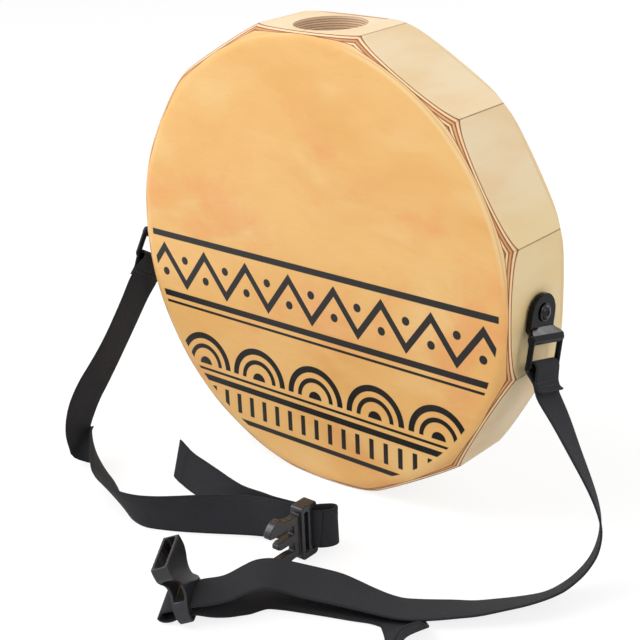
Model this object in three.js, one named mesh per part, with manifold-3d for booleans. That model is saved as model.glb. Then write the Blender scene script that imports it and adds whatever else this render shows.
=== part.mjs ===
// A portable twelve-sided hand drum with a carrying strap, in millimetres with +Z up.
// The origin lies on the floor under the middle of the drum, and the playing plate faces -Y.

import * as THREE from 'three';
import { mergeVertices } from 'three/addons/utils/BufferGeometryUtils.js';
import Module from 'manifold-3d';

const wasm = await Module();
wasm.setup();

// Clearances that the whole part shares
const seat_gap = 0.3;
const cut_overrun = 6;

// Drum shell
const side_count = 12;
const width_across_flats = 350;
const drum_depth = 68;
const front_plate_thickness = 1.5;
const back_plate_thickness = 4;
const ply_thickness = 2.4;
const ply_count = 5;
const sound_hole_rim = 7.5;
const sound_hole_facets = 48;

// Rounding of the drum's edges, turned like one surface round the drum's axis
const front_round_inset = 14.5;
const front_round_depth = 14;
const back_round_inset = 9;
const back_round_depth = 11;
const envelope_margin = 0.33;
const envelope_facets_per_side = 8;
const round_steps = 7;

// Snare rail and its two fans of strands, inside behind the playing plate
const rail_rise = 75;
const rail_height = 12;
const rail_depth = 18;
const rail_setback = 8;
const fan_spacing = 116;
const strand_count = 10;
const strand_diameter = 1.6;
const strand_facets = 6;
const strand_steps = 4;
const strand_reach = 118;
const strand_slope_drop = 16;
const strip_length = 46;
const strip_height = 12;
const strip_thickness = 1.4;
const fan_spread_share = 1.35;
const snare_screw_spacing = 30;
const snare_screw_shank_diameter = 3;
const snare_screw_head_diameter = 6.5;
const snare_screw_head_height = 1.8;
const snare_screw_length = 12;

// Pivot screw and nut of each strap bracket
const pivot_drop = 4;
const pivot_shank_diameter = 5;
const pivot_head_diameter = 13;
const pivot_head_height = 3.2;
const pivot_running_gap = 0.3;
const nut_barrel_diameter = 8;
const nut_barrel_length = 8.5;
const nut_flange_diameter = 17;
const nut_flange_thickness = 1.5;
const round_facets = 28;
const small_facets = 16;

// Strap bracket: a flat tongue under the screw that steps out to a standing frame
const tongue_width = 30;
const tongue_thickness = 4;
const tongue_standoff = 1.6;
const spacer_diameter = 17;
const tongue_rise = 13.5;
const shoulder_start_drop = 9.5;
const shoulder_end_drop = 14;
const heel_start_drop = 13;
const heel_turn_drop = 17;
const heel_turn_standoff = 6;
const flare_start_drop = 10.5;
const flare_end_drop = 15.5;
const frame_width = 41;
const frame_standoff = 11.8;
const frame_thickness = 3;
const frame_corner_radius = 4;
const window_width = 33.4;
const window_height = 14.4;
const window_top_drop = 20.5;
const window_corner_radius = 1.5;
const bar_height = 4.4;
const bracket_tilt_right_degrees = -14;
const bracket_tilt_left_degrees = -32;

// Webbing and the sewn loop that hangs in each bracket
const webbing_width = 30;
const webbing_thickness = 1.5;
const loop_inner_radius = 3.6;
const loop_layer_gap = 0.2;
const loop_lean_right_degrees = 25;
const loop_lean_left_degrees = 12;
const loop_neck_length = 15;
const loop_end_radius = 57.5;
const loop_arc_steps = 14;
const webbing_step = 6;
const webbing_side_share = 0.5;
const arc_samples = 1200;

// Plug half of the side-release buckle
const plug_length = 48.6;
const plug_width = 42;
const plug_slider_length = 17;
const plug_slider_thickness = 10;
const plug_base_end = 23;
const plug_arm_thickness = 6;
const plug_guide_width = 6;
const plug_guide_length = 17;
const plug_first_slot_start = 2.6;
const plug_slot_opening = 3.6;
const plug_slot_pitch = 7;
const plug_slot_width = 32;
const plug_corner_radius = 3;
const plug_arm_outer_shares = [
  [0.47, 0.76], [0.58, 0.79], [0.68, 0.86], [0.74, 0.97], [0.86, 0.95], [0.95, 0.78], [1, 0.62],
];
const plug_arm_inner_shares = [[0.985, 0.5], [0.9, 0.46], [0.74, 0.45], [0.58, 0.46], [0.47, 0.5]];

// Socket half of the side-release buckle
const socket_length = 47.5;
const socket_width = 38;
const socket_thickness = 12;
const socket_wall = 2.1;
const socket_cavity_depth = 31;
const socket_slot_start = 35.4;
const socket_slot_opening = 3.2;
const socket_slot_pitch = 6;
const socket_slot_width = 31;
const socket_half_outline_shares = [
  [0, 0.95], [0.1, 0.97], [0.21, 0.94], [0.3, 0.8], [0.38, 0.62], [0.47, 0.53],
  [0.57, 0.57], [0.65, 0.74], [0.73, 0.92], [0.82, 1], [0.92, 0.99], [0.975, 0.9], [1, 0.72],
];
const socket_half_depth_shares = [[0, 0.97], [0.12, 1], [0.5, 0.97], [0.72, 0.9], [1, 0.7]];
const outline_samples = 44;

// Where each half of the buckle lies on the floor, and which way it points
const plug_place = new THREE.Vector3(65, -117, 21.4);
const plug_length_direction = new THREE.Vector3(0.02, -1, 0);
const plug_width_direction = new THREE.Vector3(0, 0, 1);
const socket_place = new THREE.Vector3(42.3, -237.3, 48.8);
const socket_length_direction = new THREE.Vector3(0.228, 0.238, -0.944);
const socket_width_direction = new THREE.Vector3(-0.533, 0.842, 0.084);

// Routes of the webbing: the middle of its width, then the direction across that width
const right_run_route = [
  [195, -14, 116, 0, -0.97, 0.24],
  [201.7, -14.7, 106.2, -0.06, -0.92, 0.39],
  [212.9, -20, 95, 0.09, -0.91, 0.41],
  [223.3, -23.3, 82.3, 0.22, -0.89, 0.39],
  [233.5, -26, 69.2, 0.32, -0.86, 0.4],
  [242.4, -28.8, 55.4, 0.38, -0.82, 0.43],
  [248.6, -33.6, 41.1, 0.45, -0.75, 0.48],
  [249.7, -42.2, 27.5, 0.52, -0.67, 0.53],
  [246.5, -54.1, 17.4, 0.6, -0.58, 0.56],
  [241.3, -67.4, 11.4, 0.68, -0.48, 0.55],
  [235.6, -81.2, 9.6, 0.72, -0.5, 0.48],
  [226.4, -93.5, 8, 0.69, -0.61, 0.39],
  [215.6, -104.7, 6.6, 0.63, -0.71, 0.32],
  [204.4, -115.5, 5.3, 0.62, -0.74, 0.25],
  [193.8, -124.5, 5.3, 0.61, -0.77, 0.18],
  [183.8, -132.6, 5, 0.58, -0.8, 0.13],
  [173.7, -139.6, 4.6, 0.53, -0.84, 0.1],
  [163.6, -145.5, 4.9, 0.47, -0.88, 0.1],
  [153.4, -150.3, 6.8, 0.42, -0.9, 0.08],
  [143.2, -154.6, 9.2, 0.39, -0.92, 0.01],
  [133.2, -158.8, 11.8, 0.37, -0.93, -0.09],
  [123.3, -162.8, 13.9, 0.37, -0.91, -0.18],
  [113.2, -167.2, 15.2, 0.4, -0.89, -0.21],
  [103.6, -172, 16.8, 0.45, -0.86, -0.22],
  [95, -177.4, 19.2, 0.53, -0.82, -0.22],
  [88.1, -183.4, 21.8, 0.63, -0.74, -0.22],
  [82.4, -190.1, 22.9, 0.73, -0.66, -0.17],
  [77.9, -197.4, 21.7, 0.78, -0.62, -0.08],
  [73.7, -205, 19.6, 0.76, -0.65, -0.04],
  [69, -212.6, 18, 0.68, -0.73, -0.05],
  [63, -219.6, 17.3, 0.57, -0.82, -0.08],
  [57.2, -224.6, 16.4, 0.533, -0.842, -0.084],
  [52.6, -227.4, 14.6, 0.533, -0.842, -0.084],
  [48.3, -230, 12.9, 0.533, -0.842, -0.084],
  [44, -232.6, 12.3, 0.533, -0.842, -0.084],
  [39, -235.6, 10.5, 0.533, -0.842, -0.084],
  [36.2, -237.1, 7.6, 0.533, -0.842, -0.084],
  [35.6, -237.2, 6, 0.533, -0.842, -0.084],
];
const right_tail_route = [
  [36.1, -236.8, 4.3, 0.533, -0.842, -0.084],
  [38.2, -235.4, 3, 0.533, -0.842, -0.084],
  [42.5, -232.7, 3.5, 0.533, -0.842, -0.084],
  [47.2, -229.9, 6.1, 0.533, -0.842, -0.084],
  [52.1, -227.1, 8.2, 0.533, -0.842, -0.084],
  [57, -224.2, 10.1, 0.533, -0.842, -0.084],
  [63.5, -217.5, 8.2, 0.56, -0.82, -0.08],
  [69.5, -205, 4.6, 0.66, -0.74, -0.05],
  [74, -193.5, 2, 0.62, -0.78, 0],
  [80.5, -183, 1.4, 0.5, -0.87, 0],
  [92, -175.6, 1.1, 0.42, -0.91, 0],
  [105, -170, 1.1, 0.37, -0.93, 0],
  [121, -163.6, 1.1, 0.37, -0.93, 0],
  [137.5, -157.4, 1.1, 0.36, -0.93, 0],
  [153, -151.4, 1.1, 0.3, -0.95, 0],
  [167, -150.5, 1.2, 0, -1, 0],
  [179, -158.5, 2.5, -0.3, -0.95, 0],
  [188, -169, 7.4, -0.65, -0.7, -0.32],
  [194, -180, 13.2, -0.5, -0.35, -0.8],
  [199, -194, 16.2, -0.2, -0.1, -0.97],
  [205, -209, 16, -0.1, 0, -1],
];
const left_run_route = [
  [-189.6, -30.4, 123.6, 0.02, -0.84, 0.54],
  [-189.8, -35.2, 116.4, 0.08, -0.75, 0.66],
  [-188.5, -45.3, 105.5, 0.09, -0.66, 0.75],
  [-185.7, -57.8, 95.1, 0.09, -0.6, 0.8],
  [-182, -70.8, 85.5, 0.1, -0.56, 0.82],
  [-178.6, -84, 76.2, 0.09, -0.57, 0.82],
  [-176.4, -97.1, 66.5, 0.05, -0.63, 0.77],
  [-175.9, -109.1, 55.8, 0.01, -0.75, 0.67],
  [-176, -118.3, 43.2, 0.01, -0.89, 0.46],
  [-176.5, -122.9, 30, 0.1, -0.99, 0.13],
  [-176.6, -122.5, 19.6, 0.2, -0.93, -0.29],
  [-175.6, -120.6, 15.2, 0.18, -0.66, -0.73],
  [-169.3, -120.3, 15.2, 0.12, -0.3, -0.94],
  [-157.6, -125.4, 15.5, 0.07, 0.02, -1],
  [-143.6, -133.1, 15.2, 0.13, 0.33, -0.94],
  [-129.7, -142.1, 14, 0.24, 0.5, -0.83],
  [-115.6, -151.3, 13.2, 0.32, 0.56, -0.77],
  [-100.9, -159.9, 13.2, 0.29, 0.51, -0.81],
  [-85.5, -166.8, 14, 0.2, 0.44, -0.88],
  [-69.8, -171, 14.8, 0.07, 0.32, -0.94],
  [-55.3, -170.4, 15.3, 0, 0.2, -0.98],
  [-42.1, -164.8, 15.5, -0.03, 0.11, -0.99],
  [-29.7, -157.2, 15.6, 0, 0, -1],
  [-17.8, -148.7, 15.6, 0.06, -0.11, -0.99],
  [-6, -140.1, 15.5, 0.12, -0.2, -0.97],
  [6.2, -132.4, 15.6, 0.12, -0.24, -0.96],
  [18.8, -127, 16.4, 0.1, -0.2, -0.97],
  [32, -124.4, 18, 0.05, -0.14, -0.99],
  [46, -122.8, 19.8, 0, -0.06, -1],
  [58, -121.5, 21.2, 0, 0, -1],
  [65.2, -121.4, 21.4, 0, 0, -1],
  [71.6, -121, 21.3, 0, 0, -1],
];
const left_tail_route = [
  [77, -114.4, 20.4, 0, 0, -1],
  [78.7, -108.4, 19.7, 0, 0, -1],
  [77.4, -103.8, 19.2, 0, 0, -1],
  [73.4, -102.6, 18.8, 0, 0, -1],
  [67, -106, 18.2, 0, 0, -1],
  [60.4, -110.8, 17.6, 0, 0, -1],
  [50, -113.2, 16.6, 0, 0, -1],
  [31, -114.3, 15.9, -0.03, 0.09, -1],
  [14.9, -117.4, 15.5, 0.02, -0.1, -1],
  [-1.7, -118.7, 15.4, 0, -0.14, -0.99],
  [-18.1, -116.4, 15.3, -0.03, -0.2, -0.98],
  [-34.3, -112.8, 15.2, -0.05, -0.25, -0.97],
  [-52, -108.6, 15.2, -0.05, -0.26, -0.97],
  [-70, -104.6, 15.2, -0.04, -0.26, -0.97],
  [-87.2, -100.8, 15.2, -0.03, -0.25, -0.97],
];

// Sizes worked out from the driving dimensions
const wall_thickness = ply_count * ply_thickness;
const sector = (2 * Math.PI) / side_count;
const half_sector = sector / 2;
const apothem = width_across_flats / 2;
const corner_radius = apothem / Math.cos(half_sector);
const inner_apothem = apothem - wall_thickness;
const sound_hole_diameter = drum_depth - 2 * sound_hole_rim;
const front_plate_back = -drum_depth / 2 + front_plate_thickness;
const back_plate_front = drum_depth / 2 - back_plate_thickness;
const shell_depth = back_plate_front - front_plate_back - 2 * seat_gap;
const pivot_height = apothem - pivot_drop;
const window_bottom_drop = window_top_drop + window_height;
const bracket_bottom_drop = window_bottom_drop + bar_height;
const bar_standoff = frame_standoff - frame_thickness / 2;
const bar_drop = window_bottom_drop + bar_height / 2;
const loop_half_thickness = webbing_thickness + loop_layer_gap / 2;

// Materials

function finish(colour, roughness, metalness) {
  return new THREE.MeshStandardMaterial({ color: colour, roughness, metalness, flatShading: true });
}

const pale_birch = () => finish(0xe3cda2, 0.45, 0);
const honey_birch = () => finish(0xe0a860, 0.4, 0);
const rail_wood = () => finish(0xc9a878, 0.6, 0);
const black_webbing = () => finish(0x242427, 0.9, 0);
const black_plastic = () => finish(0x18181a, 0.3, 0);
const black_steel = () => finish(0x2a2a2c, 0.35, 0.8);
const bright_steel = () => finish(0xb9bcc0, 0.3, 0.9);

// Joining and cutting closed bodies

function toSolid(geometry) {
  const bare = geometry.clone();
  bare.deleteAttribute('normal');
  bare.deleteAttribute('uv');
  const merged = mergeVertices(bare);
  return new wasm.Manifold(new wasm.Mesh({
    numProp: 3,
    vertProperties: new Float32Array(merged.attributes.position.array),
    triVerts: new Uint32Array(merged.index.array),
  }));
}

function toGeometry(solid) {
  const mesh = solid.getMesh();
  const geometry = new THREE.BufferGeometry();
  geometry.setAttribute('position', new THREE.BufferAttribute(mesh.vertProperties, 3));
  geometry.setIndex(new THREE.BufferAttribute(mesh.triVerts, 1));
  geometry.computeVertexNormals();
  return geometry;
}

// Returns the first geometry less all the others.
function cut(geometry, ...tools) {
  let solid = toSolid(geometry);
  for (const tool of tools) solid = solid.subtract(toSolid(tool));
  return toGeometry(solid);
}

// Returns what all the geometries share.
function common(geometry, ...others) {
  let solid = toSolid(geometry);
  for (const other of others) solid = solid.intersect(toSolid(other));
  return toGeometry(solid);
}

// Returns all the geometries as one body.
function joined(geometry, ...others) {
  let solid = toSolid(geometry);
  for (const other of others) solid = solid.add(toSolid(other));
  return toGeometry(solid);
}

function extrude(shape, length, curveSegments = round_facets) {
  return new THREE.ExtrudeGeometry(shape, { depth: length, bevelEnabled: false, curveSegments });
}

function polygonShape(points) {
  const shape = new THREE.Shape();
  points.forEach(([x, y], index) => (index === 0 ? shape.moveTo(x, y) : shape.lineTo(x, y)));
  return shape;
}

function roundSection(radius, facets) {
  const points = [];
  for (let index = 0; index < facets; index += 1) {
    const angle = (index / facets) * 2 * Math.PI;
    points.push([radius * Math.cos(angle), radius * Math.sin(angle)]);
  }
  return polygonShape(points);
}

// A rectangle with rounded corners, centred at (x, y).
function roundedRectangle(width, height, radius, x, y) {
  const left = x - width / 2;
  const right = x + width / 2;
  const low = y - height / 2;
  const high = y + height / 2;
  const shape = new THREE.Shape();
  shape.moveTo(left + radius, low);
  shape.lineTo(right - radius, low);
  shape.absarc(right - radius, low + radius, radius, -Math.PI / 2, 0);
  shape.lineTo(right, high - radius);
  shape.absarc(right - radius, high - radius, radius, 0, Math.PI / 2);
  shape.lineTo(left + radius, high);
  shape.absarc(left + radius, high - radius, radius, Math.PI / 2, Math.PI);
  shape.lineTo(left, low + radius);
  shape.absarc(left + radius, low + radius, radius, Math.PI, 1.5 * Math.PI);
  return shape;
}

// A cylinder along +Z from the height low to the height high.
function peg(radius, low, high, facets = round_facets) {
  const geometry = new THREE.CylinderGeometry(radius, radius, high - low, facets);
  geometry.rotateX(Math.PI / 2);
  geometry.translate(0, 0, (low + high) / 2);
  return geometry;
}

// A body turned about Z, from [radius, height] points that start and end on the axis.
function turned(profile, facets = round_facets) {
  const geometry = new THREE.LatheGeometry(profile.map(([r, z]) => new THREE.Vector2(r, z)), facets);
  geometry.rotateX(Math.PI / 2);
  return geometry;
}

function box(width, depth, height, x, y, z) {
  const geometry = new THREE.BoxGeometry(width, depth, height);
  geometry.translate(x, y, z);
  return geometry;
}

function piece(name, geometry, material) {
  const mesh = new THREE.Mesh(geometry, material);
  mesh.name = name;
  return mesh;
}

// Drum shell

// A prism over a regular polygon whose flats stand at the given distance from the drum's axis.
function drumPrism(flat_distance, front, back) {
  const points = [];
  for (let corner = 0; corner < side_count; corner += 1) {
    const angle = Math.PI / 2 + half_sector + corner * sector;
    const radius = flat_distance / Math.cos(half_sector);
    points.push([radius * Math.cos(angle), radius * Math.sin(angle)]);
  }
  const prism = extrude(polygonShape(points), back - front);
  prism.rotateX(Math.PI / 2);
  prism.translate(0, back, 0);
  return prism;
}

// Quarter ellipse from the rim's full radius to the flat face, as [radius, y] points.
function roundedRim(radius, inset, depth, face, direction) {
  const points = [];
  for (let step = 0; step <= round_steps; step += 1) {
    const angle = (step / round_steps) * (Math.PI / 2);
    const along = face + direction * depth * (1 - Math.cos(angle));
    points.push([radius - inset + inset * Math.sin(angle), along]);
  }
  return points;
}

// The turned body that every outer piece of the drum is trimmed to.
function drumEnvelope() {
  const radius = corner_radius + envelope_margin;
  const front = roundedRim(radius, front_round_inset, front_round_depth, -drum_depth / 2, 1);
  const back = roundedRim(radius, back_round_inset, back_round_depth, drum_depth / 2, -1);
  const profile = [[0, -drum_depth / 2], ...front, ...back.reverse(), [0, drum_depth / 2]];
  const points = profile.map(([r, y]) => new THREE.Vector2(r, y));
  return new THREE.LatheGeometry(points, side_count * envelope_facets_per_side);
}

const envelope = drumEnvelope();

// One mitred stave with its outer face up, in the place of the top stave.
function staveBlank() {
  const mitre = seat_gap / 2 / Math.cos(half_sector);
  const outer_half = apothem * Math.tan(half_sector) - mitre;
  const inner_half = inner_apothem * Math.tan(half_sector) - mitre;
  const section = polygonShape([
    [-inner_half, inner_apothem],
    [inner_half, inner_apothem],
    [outer_half, apothem],
    [-outer_half, apothem],
  ]);
  const blank = extrude(section, shell_depth);
  blank.rotateX(Math.PI / 2);
  blank.translate(0, back_plate_front - seat_gap, 0);
  return common(blank, envelope);
}

function soundHole() {
  const low = inner_apothem - cut_overrun;
  return peg(sound_hole_diameter / 2, low, apothem + cut_overrun, sound_hole_facets);
}

// The bracket's screw passes through the wall into the barrel of a nut set from inside.
function pivotHoles(offset) {
  const shank_hole = pivot_shank_diameter / 2 + seat_gap;
  const barrel_hole = nut_barrel_diameter / 2 + seat_gap;
  const barrel_top = inner_apothem + nut_barrel_length + seat_gap;
  const holes = [
    peg(shank_hole, inner_apothem - cut_overrun, apothem + cut_overrun),
    peg(barrel_hole, inner_apothem - cut_overrun, barrel_top),
  ];
  for (const hole of holes) hole.translate(offset, 0, 0);
  return holes;
}

function staveRing() {
  const ring = new THREE.Group();
  const blank = staveBlank();
  for (let index = 0; index < side_count; index += 1) {
    const top = index === 0;
    const right = index === side_count / 4;
    const left = index === (3 * side_count) / 4;
    let geometry = blank;
    if (top) geometry = cut(blank, soundHole());
    if (right) geometry = cut(blank, ...pivotHoles(pivot_drop));
    if (left) geometry = cut(blank, ...pivotHoles(-pivot_drop));
    const stave = piece(`stave_${String(index + 1).padStart(2, '0')}`, geometry, pale_birch());
    stave.rotation.y = index * sector;
    ring.add(stave);
  }
  return ring;
}

function plates() {
  const group = new THREE.Group();
  const front = drumPrism(apothem, -drum_depth / 2, front_plate_back);
  const back = drumPrism(apothem, back_plate_front, drum_depth / 2);
  group.add(piece('front_plate', common(front, envelope), honey_birch()));
  group.add(piece('back_plate', common(back, envelope), pale_birch()));
  return group;
}

// Snare

const rail_front = front_plate_back + rail_setback;
const strip_front = rail_front - seat_gap - strip_thickness;
const strip_middle = strip_front + strip_thickness / 2;
const strand_lane = front_plate_back + seat_gap + strand_diameter / 2;
const snare_screw_radius = snare_screw_shank_diameter / 2;

function snareScrewHole(x, radius) {
  const hole = peg(radius, -snare_screw_length - seat_gap, cut_overrun, small_facets);
  hole.rotateX(Math.PI / 2);
  hole.translate(x, rail_front, rail_rise);
  return hole;
}

function fanCentres() {
  return [-fan_spacing / 2, fan_spacing / 2];
}

function screwPlaces() {
  const places = [];
  for (const centre of fanCentres()) {
    places.push(centre - snare_screw_spacing / 2, centre + snare_screw_spacing / 2);
  }
  return places;
}

// The rail runs across the drum, and its mitred ends seat on the inner faces of the staves.
function snareRail() {
  const blank = box(
    width_across_flats, rail_depth, rail_height, 0, rail_front + rail_depth / 2, rail_rise,
  );
  const inside = drumPrism(inner_apothem - seat_gap, rail_front - cut_overrun, drum_depth / 2);
  const trimmed = common(blank, inside);
  return cut(trimmed, ...screwPlaces().map((x) => snareScrewHole(x, snare_screw_radius + seat_gap)));
}

// One strand leaves the strip, slopes to the playing plate and runs down just behind it.
function snareStrand(top_x, bottom_x) {
  const top = rail_rise - strip_height / 2 + strand_diameter;
  const share = strand_slope_drop / strand_reach;
  const places = [
    new THREE.Vector3(top_x, strip_middle, top),
    new THREE.Vector3(
      top_x + (bottom_x - top_x) * share, strand_lane, top - strand_slope_drop,
    ),
    new THREE.Vector3(bottom_x, strand_lane, top - strand_reach),
  ];
  const path = new THREE.CurvePath();
  path.add(new THREE.LineCurve3(places[0], places[1]));
  path.add(new THREE.LineCurve3(places[1], places[2]));
  return new THREE.ExtrudeGeometry(roundSection(strand_diameter / 2, strand_facets), {
    steps: strand_steps, extrudePath: path, bevelEnabled: false,
  });
}

function snareFan(centre) {
  const strip = box(strip_length, strip_thickness, strip_height, centre, strip_middle, rail_rise);
  const pitch = (strip_length - 2 * strand_diameter) / (strand_count - 1);
  const strands = [];
  for (let index = 0; index < strand_count; index += 1) {
    const offset = (index - (strand_count - 1) / 2) * pitch;
    strands.push(snareStrand(centre + offset, centre + offset * fan_spread_share));
  }
  const holes = screwPlaces().map((x) => snareScrewHole(x, snare_screw_radius + seat_gap));
  return cut(joined(strip, ...strands), ...holes);
}

function snareScrew() {
  const head_radius = snare_screw_head_diameter / 2;
  const head_seat = seat_gap;
  const head_top = head_seat + snare_screw_head_height;
  const screw = turned([
    [0, -snare_screw_length],
    [snare_screw_radius, -snare_screw_length + snare_screw_radius],
    [snare_screw_radius, head_seat],
    [head_radius, head_seat],
    [head_radius, head_seat + snare_screw_head_height / 2],
    [snare_screw_radius, head_top],
    [0, head_top],
  ], small_facets);
  screw.rotateX(Math.PI / 2);
  return screw;
}

function snare() {
  const group = new THREE.Group();
  group.add(piece('snare_rail', snareRail(), rail_wood()));
  const sides = ['left', 'right'];
  fanCentres().forEach((centre, index) => {
    group.add(piece(`snare_fan_${sides[index]}`, snareFan(centre), bright_steel()));
  });
  screwPlaces().forEach((x, index) => {
    const screw = piece(`snare_screw_${index + 1}`, snareScrew(), black_steel());
    screw.position.set(x, strip_front, rail_rise);
    group.add(screw);
  });
  return group;
}

// Strap brackets, in a frame with X out of the wall, Y across and Z up, at the pivot

// Turns a shape drawn across and up, and extruded outwards, into the bracket's frame.
function standUp(geometry) {
  const across = new THREE.Vector3(0, 1, 0);
  const up = new THREE.Vector3(0, 0, 1);
  const out = new THREE.Vector3(1, 0, 0);
  return geometry.applyMatrix4(new THREE.Matrix4().makeBasis(across, up, out));
}

// Turns a shape drawn outwards and up into the bracket's frame, centred across it.
function standEdgeOn(shape, width) {
  const geometry = extrude(shape, width);
  geometry.rotateX(Math.PI / 2);
  geometry.translate(0, width / 2, 0);
  return geometry;
}

function bracketSilhouette() {
  const half_tongue = tongue_width / 2;
  const half_frame = frame_width / 2;
  const arc_height = tongue_rise - half_tongue;
  const corner = frame_corner_radius;
  const flare_middle_drop = (flare_start_drop + flare_end_drop) / 2;
  const shape = new THREE.Shape();
  shape.moveTo(-half_frame + corner, -bracket_bottom_drop);
  shape.lineTo(half_frame - corner, -bracket_bottom_drop);
  shape.absarc(half_frame - corner, -bracket_bottom_drop + corner, corner, -Math.PI / 2, 0);
  shape.lineTo(half_frame, -flare_end_drop);
  shape.quadraticCurveTo(half_frame, -flare_middle_drop, half_tongue, -flare_start_drop);
  shape.lineTo(half_tongue, arc_height);
  shape.absarc(0, arc_height, half_tongue, 0, Math.PI);
  shape.lineTo(-half_tongue, -flare_start_drop);
  shape.quadraticCurveTo(-half_frame, -flare_middle_drop, -half_frame, -flare_end_drop);
  shape.lineTo(-half_frame, -bracket_bottom_drop + corner);
  shape.absarc(
    -half_frame + corner, -bracket_bottom_drop + corner, corner, Math.PI, 1.5 * Math.PI,
  );
  return shape;
}

function bracketSideProfile() {
  const back = tongue_standoff;
  const tongue_face = back + tongue_thickness;
  const frame_back = frame_standoff - frame_thickness;
  return polygonShape([
    [back, tongue_rise + cut_overrun],
    [back, -heel_start_drop],
    [heel_turn_standoff, -heel_turn_drop],
    [frame_back, -window_top_drop],
    [frame_back, -bracket_bottom_drop - cut_overrun],
    [frame_standoff, -bracket_bottom_drop - cut_overrun],
    [frame_standoff, -shoulder_end_drop],
    [tongue_face, -shoulder_start_drop],
    [tongue_face, tongue_rise + cut_overrun],
  ]);
}

function bracketBody() {
  const front = standUp(extrude(bracketSilhouette(), frame_standoff + cut_overrun, round_steps));
  const side = standEdgeOn(bracketSideProfile(), frame_width + cut_overrun);
  const window_middle = -(window_top_drop + window_height / 2);
  const opening = roundedRectangle(
    window_width, window_height, window_corner_radius, 0, window_middle,
  );
  const window_cut = standUp(extrude(opening, frame_standoff + cut_overrun, round_steps));
  const hole = standUp(peg(pivot_shank_diameter / 2 + pivot_running_gap, 0, frame_standoff));
  const spacer = standUp(peg(spacer_diameter / 2, seat_gap, tongue_standoff + tongue_thickness / 2));
  return cut(joined(common(front, side), spacer), window_cut, hole);
}

function pivotScrew() {
  const shank = pivot_shank_diameter / 2;
  const head = pivot_head_diameter / 2;
  const seat = tongue_standoff + tongue_thickness + seat_gap;
  const tip = -wall_thickness - seat_gap - nut_flange_thickness;
  const dome = [];
  for (let step = 0; step <= round_steps; step += 1) {
    const angle = (step / round_steps) * (Math.PI / 2);
    const rise = pivot_head_height * (1 + Math.sin(angle)) / 2;
    dome.push([head * Math.cos(angle), seat + rise]);
  }
  dome[round_steps][0] = 0;
  return standUp(turned([[0, tip], [shank, tip], [shank, seat], [head, seat], ...dome]));
}

function pivotNut() {
  const bore = pivot_shank_diameter / 2 + seat_gap;
  const barrel = nut_barrel_diameter / 2;
  const flange = nut_flange_diameter / 2;
  const flange_seat = -wall_thickness - seat_gap;
  const flange_back = flange_seat - nut_flange_thickness;
  const barrel_end = flange_seat + nut_barrel_length;
  return standUp(turned([
    [bore, flange_back],
    [flange, flange_back],
    [flange, flange_seat],
    [barrel, flange_seat],
    [barrel, barrel_end],
    [bore, barrel_end],
    [bore, flange_back],
  ]));
}

// A drop shape round the bottom bar: an arc of the given radius that closes to a narrow neck.
// It leans out from the wall by the given angle.
function dropOutline(radius, half_neck, neck, length, lean_degrees) {
  const lean = THREE.MathUtils.degToRad(lean_degrees);
  const down = new THREE.Vector2(Math.sin(lean), -Math.cos(lean));
  const side = new THREE.Vector2(-down.y, down.x);
  const place = (along, across) => [
    bar_standoff + down.x * along + side.x * across,
    -bar_drop + down.y * along + side.y * across,
  ];
  const reach = Math.hypot(neck, half_neck);
  const touch = Math.atan2(half_neck, neck) + Math.acos(radius / reach);
  const points = [place(length, -half_neck), place(length, half_neck)];
  if (length > neck) points.push(place(neck, half_neck));
  for (let step = 0; step <= loop_arc_steps; step += 1) {
    const angle = touch + (step / loop_arc_steps) * 2 * (Math.PI - touch);
    points.push(place(radius * Math.cos(angle), radius * Math.sin(angle)));
  }
  if (length > neck) points.push(place(neck, -half_neck));
  return polygonShape(points);
}

// The folded and sewn end of the webbing that hangs on the bracket's bottom bar.
function strapLoop(lean_degrees) {
  const outer_radius = loop_inner_radius + webbing_thickness;
  const outer = standEdgeOn(
    dropOutline(
      outer_radius, loop_half_thickness, loop_neck_length, loop_end_radius, lean_degrees,
    ),
    webbing_width,
  );
  const inner = standEdgeOn(
    dropOutline(
      loop_inner_radius, loop_layer_gap, loop_neck_length, loop_neck_length, lean_degrees,
    ),
    webbing_width + cut_overrun,
  );
  const reach = standUp(peg(loop_end_radius, -cut_overrun, loop_end_radius, 4 * round_facets));
  return cut(common(outer, reach), inner);
}

// Everything that sits on the pivot of one side, turned to how its bracket hangs.
function bracketGroup(side, sign, tilt_degrees, lean_degrees) {
  const placed = new THREE.Group();
  placed.position.set(sign * apothem, 0, pivot_height - apothem);
  placed.rotation.x = THREE.MathUtils.degToRad(tilt_degrees);
  const facing = new THREE.Group();
  facing.rotation.z = sign > 0 ? 0 : Math.PI;
  facing.add(piece(`bracket_${side}`, bracketBody(), black_plastic()));
  facing.add(piece(`bracket_screw_${side}`, pivotScrew(), black_steel()));
  facing.add(piece(`bracket_nut_${side}`, pivotNut(), bright_steel()));
  facing.add(piece(`strap_loop_${side}`, strapLoop(lean_degrees), black_webbing()));
  placed.add(facing);
  return placed;
}

// Webbing that lies free

// One length of webbing: the line along its middle, and the direction across it.
function webbingLine(route) {
  const middle = new THREE.CatmullRomCurve3(route.map(([x, y, z]) => new THREE.Vector3(x, y, z)));
  middle.arcLengthDivisions = arc_samples;
  const across = new THREE.CatmullRomCurve3(
    route.map(([, , , x, y, z]) => new THREE.Vector3(x, y, z).normalize()),
  );
  return { middle, across };
}

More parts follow.
